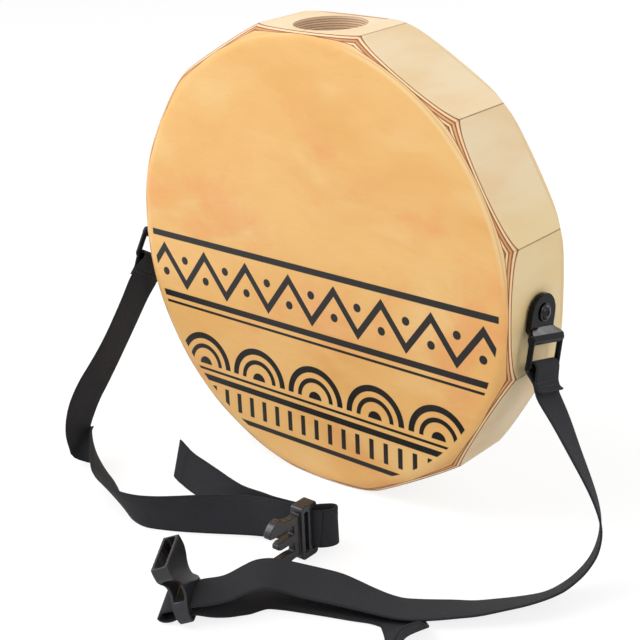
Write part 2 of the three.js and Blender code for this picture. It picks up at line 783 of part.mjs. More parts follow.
// A flat band over the stretch of a line between two lengths along it.
// Its rings stand square to the line.
function webbingBand({ middle, across }, start, end) {
  const total = middle.getLength();
  const rings = Math.round((end - start) / webbing_step);
  const positions = [];
  for (let ring = 0; ring <= rings; ring += 1) {
    const length = start + (end - start) * (ring / rings);
    const t = middle.getUtoTmapping(length / total);
    const centre = middle.getPoint(t);
    const along = middle.getTangent(t);
    const width = across.getPoint(t);
    width.addScaledVector(along, -width.dot(along)).normalize();
    const normal = new THREE.Vector3().crossVectors(along, width);
    const corners = [[-1, -1], [1, -1], [1, 1], [-1, 1]];
    for (const [a, b] of corners) {
      const corner = centre.clone();
      corner.addScaledVector(width, a * webbing_side_share * webbing_width);
      corner.addScaledVector(normal, b * webbing_side_share * webbing_thickness);
      positions.push(corner.x, corner.y, corner.z);
    }
  }
  const faces = [0, 2, 1, 0, 3, 2];
  const last = 4 * rings;
  for (let ring = 0; ring < rings; ring += 1) {
    for (let side = 0; side < 4; side += 1) {
      const a = 4 * ring + side;
      const b = 4 * ring + ((side + 1) % 4);
      faces.push(a, b, b + 4, a, b + 4, a + 4);
    }
  }
  faces.push(last, last + 1, last + 2, last, last + 2, last + 3);
  const geometry = new THREE.BufferGeometry();
  geometry.setAttribute('position', new THREE.Float32BufferAttribute(positions, 3));
  geometry.setIndex(faces);
  geometry.computeVertexNormals();
  return geometry;
}

// The room that a loop sweeps as its bracket swings, which the free webbing stays out of.
function loopSweep(sign) {
  const sweep = standUp(peg(loop_end_radius + seat_gap, 0, loop_end_radius, 4 * round_facets));
  if (sign < 0) sweep.rotateZ(Math.PI);
  sweep.translate(sign * apothem, 0, pivot_height);
  return sweep;
}

// One side's webbing, parted where it turns back behind the buckle into the run and the tail.
function strap(side, sign, run_route, tail_route) {
  const route = [...run_route, ...tail_route];
  const line = webbingLine(route);
  const turn_share = (run_route.length - 0.5) / (route.length - 1);
  const lengths = line.middle.getLengths(arc_samples);
  const turn = lengths[Math.round(turn_share * arc_samples)];
  const run = webbingBand(line, 0, turn - seat_gap / 2);
  const tail = webbingBand(line, turn + seat_gap / 2, lengths[arc_samples]);
  const group = new THREE.Group();
  group.add(piece(`strap_run_${side}`, cut(run, loopSweep(sign)), black_webbing()));
  group.add(piece(`strap_tail_${side}`, tail, black_webbing()));
  return group;
}

function straps() {
  const group = new THREE.Group();
  group.add(strap('right', 1, right_run_route, right_tail_route));
  group.add(strap('left', -1, left_run_route, left_tail_route));
  return group;
}

// Side-release buckle, each half with X along it, Y across it and Z through its thickness

// Samples a smooth line through points given as shares of a length and a half width.
function smoothShares(shares, length, half_width, samples) {
  const curve = new THREE.SplineCurve(
    shares.map(([a, b]) => new THREE.Vector2(a * length, b * half_width)),
  );
  return curve.getPoints(samples).map((point) => [point.x, point.y]);
}

// Closes a half outline by its mirror image across the X axis.
function mirroredOutline(half) {
  const other = half.map(([x, y]) => [x, -y]).reverse();
  return polygonShape([...half, ...other]);
}

// A slot across the buckle for the webbing, cut through its thickness.
function strapSlot(start, opening, width, thickness) {
  return box(opening, width, thickness + cut_overrun, start + opening / 2, 0, 0);
}

function plugBody() {
  const half_width = plug_width / 2;
  const slider = extrude(roundedRectangle(
    plug_slider_length, plug_width, plug_corner_radius, plug_slider_length / 2, 0,
  ), plug_slider_thickness, round_steps);
  slider.translate(0, 0, -plug_slider_thickness / 2);
  const arm_samples = Math.round(outline_samples / 2);
  const outer = smoothShares(plug_arm_outer_shares, plug_length, half_width, arm_samples);
  const inner = smoothShares(plug_arm_inner_shares, plug_length, half_width, arm_samples);
  const base_start = plug_slider_length - plug_corner_radius;
  const arm_root = outer[0][1];
  const half_guide = plug_guide_width / 2;
  const guide_end = plug_base_end + plug_guide_length;
  const half = [
    [base_start, arm_root],
    ...outer,
    ...inner,
    [plug_base_end, inner[inner.length - 1][1]],
    [plug_base_end, half_guide],
    [guide_end - half_guide, half_guide],
    [guide_end, half_guide / 2],
  ];
  const prongs = extrude(mirroredOutline(half), plug_arm_thickness);
  prongs.translate(0, 0, -plug_arm_thickness / 2);
  const slots = [plug_first_slot_start, plug_first_slot_start + plug_slot_pitch].map(
    (start) => strapSlot(start, plug_slot_opening, plug_slot_width, plug_slider_thickness),
  );
  return cut(joined(slider, prongs), ...slots);
}

function socketBody() {
  const half_width = socket_width / 2;
  const half_depth = socket_thickness / 2;
  const plan = extrude(mirroredOutline(smoothShares(
    socket_half_outline_shares, socket_length, half_width, outline_samples,
  )), socket_thickness);
  plan.translate(0, 0, -half_depth);
  const side = extrude(mirroredOutline(smoothShares(
    socket_half_depth_shares, socket_length, half_depth, round_steps,
  )), socket_width);
  side.rotateX(Math.PI / 2);
  side.translate(0, half_width, 0);
  const cavity = extrude(roundedRectangle(
    socket_width - 2 * socket_wall,
    socket_thickness - 2 * socket_wall,
    socket_wall,
    0,
    0,
  ), socket_cavity_depth + cut_overrun, round_steps);
  cavity.applyMatrix4(new THREE.Matrix4().makeBasis(
    new THREE.Vector3(0, 1, 0), new THREE.Vector3(0, 0, 1), new THREE.Vector3(1, 0, 0),
  ));
  cavity.translate(-cut_overrun, 0, 0);
  const slots = [socket_slot_start, socket_slot_start + socket_slot_pitch].map(
    (start) => strapSlot(start, socket_slot_opening, socket_slot_width, socket_thickness),
  );
  return cut(common(plan, side), cavity, ...slots);
}

// Stands a group at a place, with its X and Y axes along the given directions.
function aimed(place, along, across) {
  const x = along.clone().normalize();
  const z = new THREE.Vector3().crossVectors(x, across).normalize();
  const y = new THREE.Vector3().crossVectors(z, x);
  const group = new THREE.Group();
  group.position.copy(place);
  group.setRotationFromMatrix(new THREE.Matrix4().makeBasis(x, y, z));
  return group;
}

function buckle() {
  const group = new THREE.Group();
  const plug = aimed(plug_place, plug_length_direction, plug_width_direction);
  plug.add(piece('buckle_plug', plugBody(), black_plastic()));
  const socket = aimed(socket_place, socket_length_direction, socket_width_direction);
  socket.add(piece('buckle_socket', socketBody(), black_plastic()));
  group.add(plug, socket);
  return group;
}

// The whole part: the drum stands on its lowest stave, with the strap lying round it

const drum = new THREE.Group();
drum.position.z = apothem;
drum.add(staveRing(), plates(), snare());
drum.add(bracketGroup('right', 1, bracket_tilt_right_degrees, loop_lean_right_degrees));
drum.add(bracketGroup('left', -1, bracket_tilt_left_degrees, loop_lean_left_degrees));

const part = new THREE.Group();
part.add(drum, straps(), buckle());

export default part;
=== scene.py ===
"""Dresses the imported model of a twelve-sided hand drum and its webbing strap."""

import logging
import math
from collections.abc import Callable, Iterator, Sequence
from contextlib import contextmanager
from dataclasses import dataclass, field
from enum import Enum

import bmesh
import bpy
import numpy as np
from mathutils import Matrix, Vector


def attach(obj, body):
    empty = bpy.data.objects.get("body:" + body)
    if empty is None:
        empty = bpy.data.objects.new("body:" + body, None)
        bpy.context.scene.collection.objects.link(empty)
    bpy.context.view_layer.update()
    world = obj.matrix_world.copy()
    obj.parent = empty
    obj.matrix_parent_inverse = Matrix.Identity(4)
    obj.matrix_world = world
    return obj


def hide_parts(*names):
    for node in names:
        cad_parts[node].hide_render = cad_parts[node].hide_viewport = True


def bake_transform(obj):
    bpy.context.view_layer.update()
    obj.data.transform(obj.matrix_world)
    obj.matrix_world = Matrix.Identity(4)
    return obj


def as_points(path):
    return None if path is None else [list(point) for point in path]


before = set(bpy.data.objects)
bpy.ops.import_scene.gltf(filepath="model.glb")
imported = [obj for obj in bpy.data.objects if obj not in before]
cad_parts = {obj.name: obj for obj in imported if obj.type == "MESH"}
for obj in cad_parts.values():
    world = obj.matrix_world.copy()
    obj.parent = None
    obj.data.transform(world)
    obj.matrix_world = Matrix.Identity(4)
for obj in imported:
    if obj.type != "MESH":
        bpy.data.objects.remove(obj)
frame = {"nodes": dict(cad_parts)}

LOG = logging.getLogger("hand_drum")
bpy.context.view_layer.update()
DRUM_BODY = "drum"
# Half of the drum's size across its flats, which is also how high its axis lies
APOTHEM = 0.175
# Points closer than this are one point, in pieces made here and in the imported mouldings
SAME_POINT = 1e-7
SAME_CAD_POINT = 1e-6

# The upper right of the plate's rim is sanded bare: the way there, and the reach where that begins and ends
BARE_TOWARDS = (0.75, 0.66)
BARE_FADE = (0.128, 0.155)

Settings = dict[str, object]
Sockets = dict[str | int, object]
Pair = tuple[float, float]
Triple = tuple[float, float, float]
Route = list[tuple[float, float, float, float, float, float]]
# The points along a middle line, and the direction of the width at each of them
Ribbon = tuple[np.ndarray, np.ndarray]

# Middle of the webbing's width in metres, then the direction across it
RIGHT_RUN_ROUTE: Route = [
    (0.1950, -0.0140, 0.1160, 0, -0.97, 0.24),
    (0.2017, -0.0147, 0.1062, -0.06, -0.92, 0.39),
    (0.2129, -0.0200, 0.0950, 0.09, -0.91, 0.41),
    (0.2233, -0.0233, 0.0823, 0.22, -0.89, 0.39),
    (0.2335, -0.0260, 0.0692, 0.32, -0.86, 0.4),
    (0.2424, -0.0288, 0.0554, 0.38, -0.82, 0.43),
    (0.2486, -0.0336, 0.0411, 0.45, -0.75, 0.48),
    (0.2497, -0.0422, 0.0275, 0.52, -0.67, 0.53),
    (0.2465, -0.0541, 0.0174, 0.6, -0.58, 0.56),
    (0.2413, -0.0674, 0.0114, 0.68, -0.48, 0.55),
    (0.2356, -0.0812, 0.0096, 0.72, -0.5, 0.48),
    (0.2264, -0.0935, 0.0080, 0.69, -0.61, 0.39),
    (0.2156, -0.1047, 0.0066, 0.63, -0.71, 0.32),
    (0.2044, -0.1155, 0.0053, 0.62, -0.74, 0.25),
    (0.1938, -0.1245, 0.0053, 0.61, -0.77, 0.18),
    (0.1838, -0.1326, 0.0050, 0.58, -0.8, 0.13),
    (0.1737, -0.1396, 0.0046, 0.53, -0.84, 0.1),
    (0.1636, -0.1455, 0.0049, 0.47, -0.88, 0.1),
    (0.1534, -0.1503, 0.0068, 0.42, -0.9, 0.08),
    (0.1432, -0.1546, 0.0092, 0.39, -0.92, 0.01),
    (0.1332, -0.1588, 0.0118, 0.37, -0.93, -0.09),
    (0.1233, -0.1628, 0.0139, 0.37, -0.91, -0.18),
    (0.1132, -0.1672, 0.0152, 0.4, -0.89, -0.21),
    (0.1036, -0.1720, 0.0168, 0.45, -0.86, -0.22),
    (0.0950, -0.1774, 0.0192, 0.53, -0.82, -0.22),
    (0.0881, -0.1834, 0.0218, 0.63, -0.74, -0.22),
    (0.0824, -0.1901, 0.0229, 0.73, -0.66, -0.17),
    (0.0779, -0.1974, 0.0217, 0.78, -0.62, -0.08),
    (0.0737, -0.2050, 0.0196, 0.76, -0.65, -0.04),
    (0.0690, -0.2126, 0.0180, 0.68, -0.73, -0.05),
    (0.0630, -0.2196, 0.0173, 0.57, -0.82, -0.08),
    (0.0572, -0.2246, 0.0164, 0.533, -0.842, -0.084),
    (0.0526, -0.2274, 0.0146, 0.533, -0.842, -0.084),
    (0.0483, -0.2300, 0.0129, 0.533, -0.842, -0.084),
    (0.0440, -0.2326, 0.0123, 0.533, -0.842, -0.084),
    (0.0390, -0.2356, 0.0105, 0.533, -0.842, -0.084),
    (0.0362, -0.2371, 0.0076, 0.533, -0.842, -0.084),
    (0.0356, -0.2372, 0.0060, 0.533, -0.842, -0.084),
]

RIGHT_TAIL_ROUTE: Route = [
    (0.0361, -0.2368, 0.0043, 0.533, -0.842, -0.084),
    (0.0382, -0.2354, 0.0030, 0.533, -0.842, -0.084),
    (0.0425, -0.2327, 0.0035, 0.533, -0.842, -0.084),
    (0.0472, -0.2299, 0.0061, 0.533, -0.842, -0.084),
    (0.0521, -0.2271, 0.0082, 0.533, -0.842, -0.084),
    (0.0570, -0.2242, 0.0101, 0.533, -0.842, -0.084),
    (0.0635, -0.2175, 0.0082, 0.56, -0.82, -0.08),
    (0.0695, -0.2050, 0.0046, 0.66, -0.74, -0.05),
    (0.0740, -0.1935, 0.0020, 0.62, -0.78, 0),
    (0.0805, -0.1830, 0.0014, 0.5, -0.87, 0),
    (0.0920, -0.1756, 0.0011, 0.42, -0.91, 0),
    (0.1050, -0.1700, 0.0011, 0.37, -0.93, 0),
    (0.1210, -0.1636, 0.0011, 0.37, -0.93, 0),
    (0.1375, -0.1574, 0.0011, 0.36, -0.93, 0),
    (0.1530, -0.1514, 0.0011, 0.3, -0.95, 0),
    (0.1670, -0.1505, 0.0012, 0, -1, 0),
    (0.1790, -0.1585, 0.0025, -0.3, -0.95, 0),
    (0.1880, -0.1690, 0.0074, -0.65, -0.7, -0.32),
    (0.1940, -0.1800, 0.0132, -0.5, -0.35, -0.8),
    (0.1990, -0.1940, 0.0162, -0.2, -0.1, -0.97),
    (0.2050, -0.2090, 0.0160, -0.1, 0, -1),
]

LEFT_RUN_ROUTE: Route = [
    (-0.1896, -0.0304, 0.1236, 0.02, -0.84, 0.54),
    (-0.1898, -0.0352, 0.1164, 0.08, -0.75, 0.66),
    (-0.1885, -0.0453, 0.1055, 0.09, -0.66, 0.75),
    (-0.1857, -0.0578, 0.0951, 0.09, -0.6, 0.8),
    (-0.1820, -0.0708, 0.0855, 0.1, -0.56, 0.82),
    (-0.1786, -0.0840, 0.0762, 0.09, -0.57, 0.82),
    (-0.1764, -0.0971, 0.0665, 0.05, -0.63, 0.77),
    (-0.1759, -0.1091, 0.0558, 0.01, -0.75, 0.67),
    (-0.1760, -0.1183, 0.0432, 0.01, -0.89, 0.46),
    (-0.1765, -0.1229, 0.0300, 0.1, -0.99, 0.13),
    (-0.1766, -0.1225, 0.0196, 0.2, -0.93, -0.29),
    (-0.1756, -0.1206, 0.0152, 0.18, -0.66, -0.73),
    (-0.1693, -0.1203, 0.0152, 0.12, -0.3, -0.94),
    (-0.1576, -0.1254, 0.0155, 0.07, 0.02, -1),
    (-0.1436, -0.1331, 0.0152, 0.13, 0.33, -0.94),
    (-0.1297, -0.1421, 0.0140, 0.24, 0.5, -0.83),
    (-0.1156, -0.1513, 0.0132, 0.32, 0.56, -0.77),
    (-0.1009, -0.1599, 0.0132, 0.29, 0.51, -0.81),
    (-0.0855, -0.1668, 0.0140, 0.2, 0.44, -0.88),
    (-0.0698, -0.1710, 0.0148, 0.07, 0.32, -0.94),
    (-0.0553, -0.1704, 0.0153, 0, 0.2, -0.98),
    (-0.0421, -0.1648, 0.0155, -0.03, 0.11, -0.99),
    (-0.0297, -0.1572, 0.0156, 0, 0, -1),
    (-0.0178, -0.1487, 0.0156, 0.06, -0.11, -0.99),
    (-0.0060, -0.1401, 0.0155, 0.12, -0.2, -0.97),
    (0.0062, -0.1324, 0.0156, 0.12, -0.24, -0.96),
    (0.0188, -0.1270, 0.0164, 0.1, -0.2, -0.97),
    (0.0320, -0.1244, 0.0180, 0.05, -0.14, -0.99),
    (0.0460, -0.1228, 0.0198, 0, -0.06, -1),
    (0.0580, -0.1215, 0.0212, 0, 0, -1),
    (0.0652, -0.1214, 0.0214, 0, 0, -1),
    (0.0716, -0.1210, 0.0213, 0, 0, -1),
]

LEFT_TAIL_ROUTE: Route = [
    (0.0770, -0.1144, 0.0204, 0, 0, -1),
    (0.0787, -0.1084, 0.0197, 0, 0, -1),
    (0.0774, -0.1038, 0.0192, 0, 0, -1),
    (0.0734, -0.1026, 0.0188, 0, 0, -1),
    (0.0670, -0.1060, 0.0182, 0, 0, -1),
    (0.0604, -0.1108, 0.0176, 0, 0, -1),
    (0.0500, -0.1132, 0.0166, 0, 0, -1),
    (0.0310, -0.1143, 0.0159, -0.03, 0.09, -1),
    (0.0149, -0.1174, 0.0155, 0.02, -0.1, -1),
    (-0.0017, -0.1187, 0.0154, 0, -0.14, -0.99),
    (-0.0181, -0.1164, 0.0153, -0.03, -0.2, -0.98),
    (-0.0343, -0.1128, 0.0152, -0.05, -0.25, -0.97),
    (-0.0520, -0.1086, 0.0152, -0.05, -0.26, -0.97),
    (-0.0700, -0.1046, 0.0152, -0.04, -0.26, -0.97),
    (-0.0872, -0.1008, 0.0152, -0.03, -0.25, -0.97),
]


class Side(Enum):
    """The two sides of the drum that carry a strap bracket."""

    RIGHT = "right"
    LEFT = "left"

    @property
    def sign(self) -> int:
        """Which way along X this side points."""
        return 1 if self is Side.RIGHT else -1


# Node trees from Python expressions


def operator(operation: str, swapped: bool = False) -> Callable[..., "Flow"]:
    """Makes a method that runs its values through a Math node.

    Args:
        operation: The node's operation.
        swapped: Whether the flow comes last, after a number.

    Returns:
        The method.
    """

    def run(flow: "Flow", *others: object) -> "Flow":
        """Gives the operation's result."""
        return flow.graph.math(operation, *((*others, flow) if swapped else (flow, *others)))

    return run


class Flow:
    """A node socket that takes part in Python arithmetic."""

    __add__, __radd__ = operator("ADD"), operator("ADD", True)
    __sub__, __rsub__ = operator("SUBTRACT"), operator("SUBTRACT", True)
    __mul__, __rmul__ = operator("MULTIPLY"), operator("MULTIPLY", True)
    __truediv__, __mod__ = operator("DIVIDE"), operator("FLOORED_MODULO")
    __gt__, __abs__ = operator("GREATER_THAN"), operator("ABSOLUTE")
    root, floor = operator("SQRT"), operator("FLOOR")
    least, most = operator("MINIMUM"), operator("MAXIMUM")

    def __init__(self, graph: "Graph", socket: bpy.types.NodeSocket) -> None:
        """Wraps the output socket that gives this value, in the tree that new nodes go into."""
        self.graph = graph
        self.socket = socket

    def smooth(self, low: object, high: object) -> "Flow":
        """Rises smoothly from 0 to 1.

        Args:
            low: The value where the rise starts.
            high: The value where it ends.

        Returns:
            The share of the rise that this value has reached.
        """
        return self.graph.flow(
            "ShaderNodeMapRange",
            {"interpolation_type": "SMOOTHSTEP"},
            {"Value": self, "From Min": low, "From Max": high},
        )


class Graph:
    """A node tree, for shaders or for geometry, that is written as expressions."""

    def __init__(self, tree: bpy.types.NodeTree) -> None:
        """Starts on an emptied tree.

        Args:
            tree: The tree to build in.
        """
        self.tree = tree
        tree.nodes.clear()

    def node(
        self, kind: str, settings: Settings | None = None, sockets: Sockets | None = None
    ) -> bpy.types.Node:
        """Makes one node.

        Args:
            kind: The node's type.
            settings: Its properties, set first.
            sockets: Values or links of its inputs, by name, identifier or index.

        Returns:
            The new node.
        """
        made = self.tree.nodes.new(kind)
        for name, value in (settings or {}).items():
            setattr(made, name, value)
        for key, value in (sockets or {}).items():
            self.feed(self.input_of(made, key), value)
        return made

    @staticmethod
    def input_of(node: bpy.types.Node, key: str | int) -> bpy.types.NodeSocket:
        """Finds an input by index, by identifier, or else by the name of an active socket.

        Args:
            node: The node that has the input.
            key: The index, identifier or name.

        Returns:
            The input's socket.
        """
        if isinstance(key, int):
            return node.inputs[key]
        for socket in node.inputs:
            if socket.identifier == key:
                return socket
        return next(s for s in node.inputs if s.name == key and s.enabled)

    def feed(self, socket: bpy.types.NodeSocket, value: object) -> None:
        """Links a flow into a socket, or sets the socket's own value.

        Args:
            socket: The input.
            value: A flow, a number or a tuple; a colour may leave out its alpha.
        """
        if isinstance(value, Flow):
            self.tree.links.new(value.socket, socket)
        elif isinstance(value, tuple) and socket.type == "RGBA" and len(value) == 3:
            socket.default_value = (*value, 1.0)
        else:
            socket.default_value = value

    def flow(
        self, kind: str, settings: Settings | None = None, sockets: Sockets | None = None,
        output: str | int = 0,
    ) -> Flow:
        """Makes one node and takes one of its outputs.

        Args:
            kind: The node's type.
            settings: Its properties.
            sockets: Values or links of its inputs.
            output: The index or the identifier of the wanted output.

        Returns:
            That output.
        """
        made = self.node(kind, settings, sockets)
        if isinstance(output, int):
            return Flow(self, made.outputs[output])
        found = [s for s in made.outputs if s.identifier == output] or [
            s for s in made.outputs if s.name == output and s.enabled
        ]
        return Flow(self, found[0])

    def math(self, operation: str, *values: object) -> Flow:
        """Makes a Math node of that operation."""
        return self.flow("ShaderNodeMath", {"operation": operation}, dict(enumerate(values)))

    def vector(self, operation: str, *values: object) -> Flow:
        """Makes a Vector Math node of that operation."""
        return self.flow("ShaderNodeVectorMath", {"operation": operation}, dict(enumerate(values)))

    def split(self, vector: Flow) -> tuple[Flow, Flow, Flow]:
        """Gives the three parts of a vector."""
        made = self.node("ShaderNodeSeparateXYZ", None, {0: vector})
        return tuple(Flow(self, socket) for socket in made.outputs)

    def join(self, x: object, y: object, z: object) -> Flow:
        """Makes a vector of three values."""
        return self.flow("ShaderNodeCombineXYZ", None, {0: x, 1: y, 2: z})

    def mix(self, share: object, first: object, second: object) -> Flow:
        """Mixes two colours, from the first at 0 to the second at 1.

        Args:
            share: How much of the second there is.
            first: A colour.
            second: Another colour.

        Returns:
            The mixed colour.
        """
        return self.flow(
            "ShaderNodeMix",
            {"data_type": "RGBA"},
            {"Factor_Float": share, "A_Color": first, "B_Color": second},
            "Result_Color",
        )

    def layered(self, colour: object, *layers: tuple[Flow, object]) -> Flow:
        """Lays colours over a first one, each as a share from 0 to 1 and the colour.

        Args:
            colour: The first colour.
            layers: The share and the colour of each one above it.

        Returns:
            The colour on top.
        """
        for share, tint in layers:
            colour = self.mix(share, colour, tint)
        return colour

    def noise(self, place: Flow, stretch: Triple, detail: float = 3.0, roughness: float = 0.5) -> Flow:
        """Gives smooth noise from 0 to 1 that varies with a place, scaled along each axis.

        Args:
            place: Where the noise is read.
            stretch: How fast it varies along each axis.
            detail: How many finer layers it has.
            roughness: How strong these are.

        Returns:
            The noise.
        """
        drawn = self.vector("MULTIPLY", place, stretch)
        sockets: Sockets = {"Vector": drawn, "Scale": 1.0, "Detail": detail, "Roughness": roughness}
        return self.flow("ShaderNodeTexNoise", None, sockets)

    def bump(self, height: Flow, depth: float, strength: float = 1.0, normal: Flow | None = None) -> Flow:
        """Turns a height from 0 to 1 into a normal.

        Args:
            height: The height at each point.
            depth: How far 1 stands above 0, in metres.
            strength: How strongly the bump shows.
            normal: The normal of a coarser bump below this one.

        Returns:
            The bumped normal.
        """
        sockets: Sockets = {"Height": height, "Distance": depth, "Strength": strength}
        if normal is not None:
            sockets["Normal"] = normal
        return self.flow("ShaderNodeBump", None, sockets)

    def principled(self, colour: Flow, roughness: object, normal: Flow, others: Sockets) -> Flow:
        """Makes a surface's shader.

        Args:
            colour: The base colour.
            roughness: How matt the surface is.
            normal: The bumped normal.
            others: Values or links of the shader's other inputs.

        Returns:
            The shader.
        """
        sockets: Sockets = {"Base Color": colour, "Roughness": roughness, "Normal": normal} | others
        return self.flow("ShaderNodeBsdfPrincipled", None, sockets)

    def attribute(self, name: str) -> Flow:
        """Reads a vector attribute of the mesh."""
        return self.flow("ShaderNodeAttribute", {"attribute_name": name}, None, "Vector")

    def place(self) -> Flow:
        """Reads the object coordinates."""
        return self.flow("ShaderNodeTexCoord", None, None, "Object")


class Recipe(Graph):
    """A Geometry Nodes tree with named inputs, which ends in Realize Instances and Set Material."""

    def __init__(self, name: str, inputs: dict[str, float]) -> None:
        """Lays out the tree's interface.

        Args:
            name: The tree's name.
            inputs: Each size that the tree takes, with its usual value.
        """
        super().__init__(bpy.data.node_groups.new(name, "GeometryNodeTree"))
        interface = self.tree.interface
        interface.new_socket(name="Geometry", in_out="INPUT", socket_type="NodeSocketGeometry")
        interface.new_socket(name="Geometry", in_out="OUTPUT", socket_type="NodeSocketGeometry")
        self.identifiers: dict[str, str] = {}
        for label, value in inputs.items():
            socket = interface.new_socket(name=label, in_out="INPUT", socket_type="NodeSocketFloat")
            socket.default_value = value
            self.identifiers[label] = socket.identifier
        socket = interface.new_socket(name="Finish", in_out="INPUT", socket_type="NodeSocketMaterial")
        self.identifiers["Finish"] = socket.identifier
        self.entry = self.node("NodeGroupInput")

    def given(self, name: str) -> Flow:
        """Gives one of the tree's named inputs."""
        return Flow(self, next(s for s in self.entry.outputs if s.name == name))

    def close(self, geometry: Flow) -> None:
        """Ends the tree with plain geometry that has its material.

        Args:
            geometry: What the tree has made.
        """
        plain = self.flow("GeometryNodeRealizeInstances", None, {0: geometry})
        sockets: Sockets = {"Geometry": plain, "Material": self.given("Finish")}
        self.node("NodeGroupOutput", None, {0: self.flow("GeometryNodeSetMaterial", None, sockets)})

    def run(self, piece: bpy.types.Object, finish: "Finish", **values: float) -> bpy.types.Object:
        """Runs the tree on a piece and keeps the result as its plain mesh.

        Args:
            piece: The object whose mesh goes in.
            finish: The finish that the result wears.
            values: The named inputs, with _ for a space.

        Returns:
            The same object, without the modifier.
        """
        modifier = piece.modifiers.new("recipe", "NODES")
        modifier.node_group = self.tree
        for label, value in values.items():
            modifier[self.identifiers[label.replace("_", " ").capitalize()]] = float(value)
        modifier[self.identifiers["Finish"]] = finish.material()
        return settle(piece)


# Finishes


def srgb(*channels: int) -> Triple:
    """Turns a screen colour of 0 to 255 into the linear colour that a shader takes."""
    shares = [channel / 255 for channel in channels]
    return tuple(s / 12.92 if s <= 0.04045 else ((s + 0.055) / 1.055) ** 2.4 for s in shares)


class Finish:
    """What a surface is made of. Each finish lays out its own nodes."""

    title = "finish"

    def material(self) -> bpy.types.Material:
        """Gives the finish's material, made on its first use.

        Returns:
            The material.
        """
        found = bpy.data.materials.get(self.title)
        if found:
            return found
        made = bpy.data.materials.new(self.title)
        made.use_nodes = True
        graph = Graph(made.node_tree)
        shader = self.surface(graph)
        graph.node("ShaderNodeOutputMaterial", None, {"Surface": shader})
        return made

    def surface(self, graph: Graph) -> Flow:
        """Lays out the nodes and gives the shader."""
        raise NotImplementedError


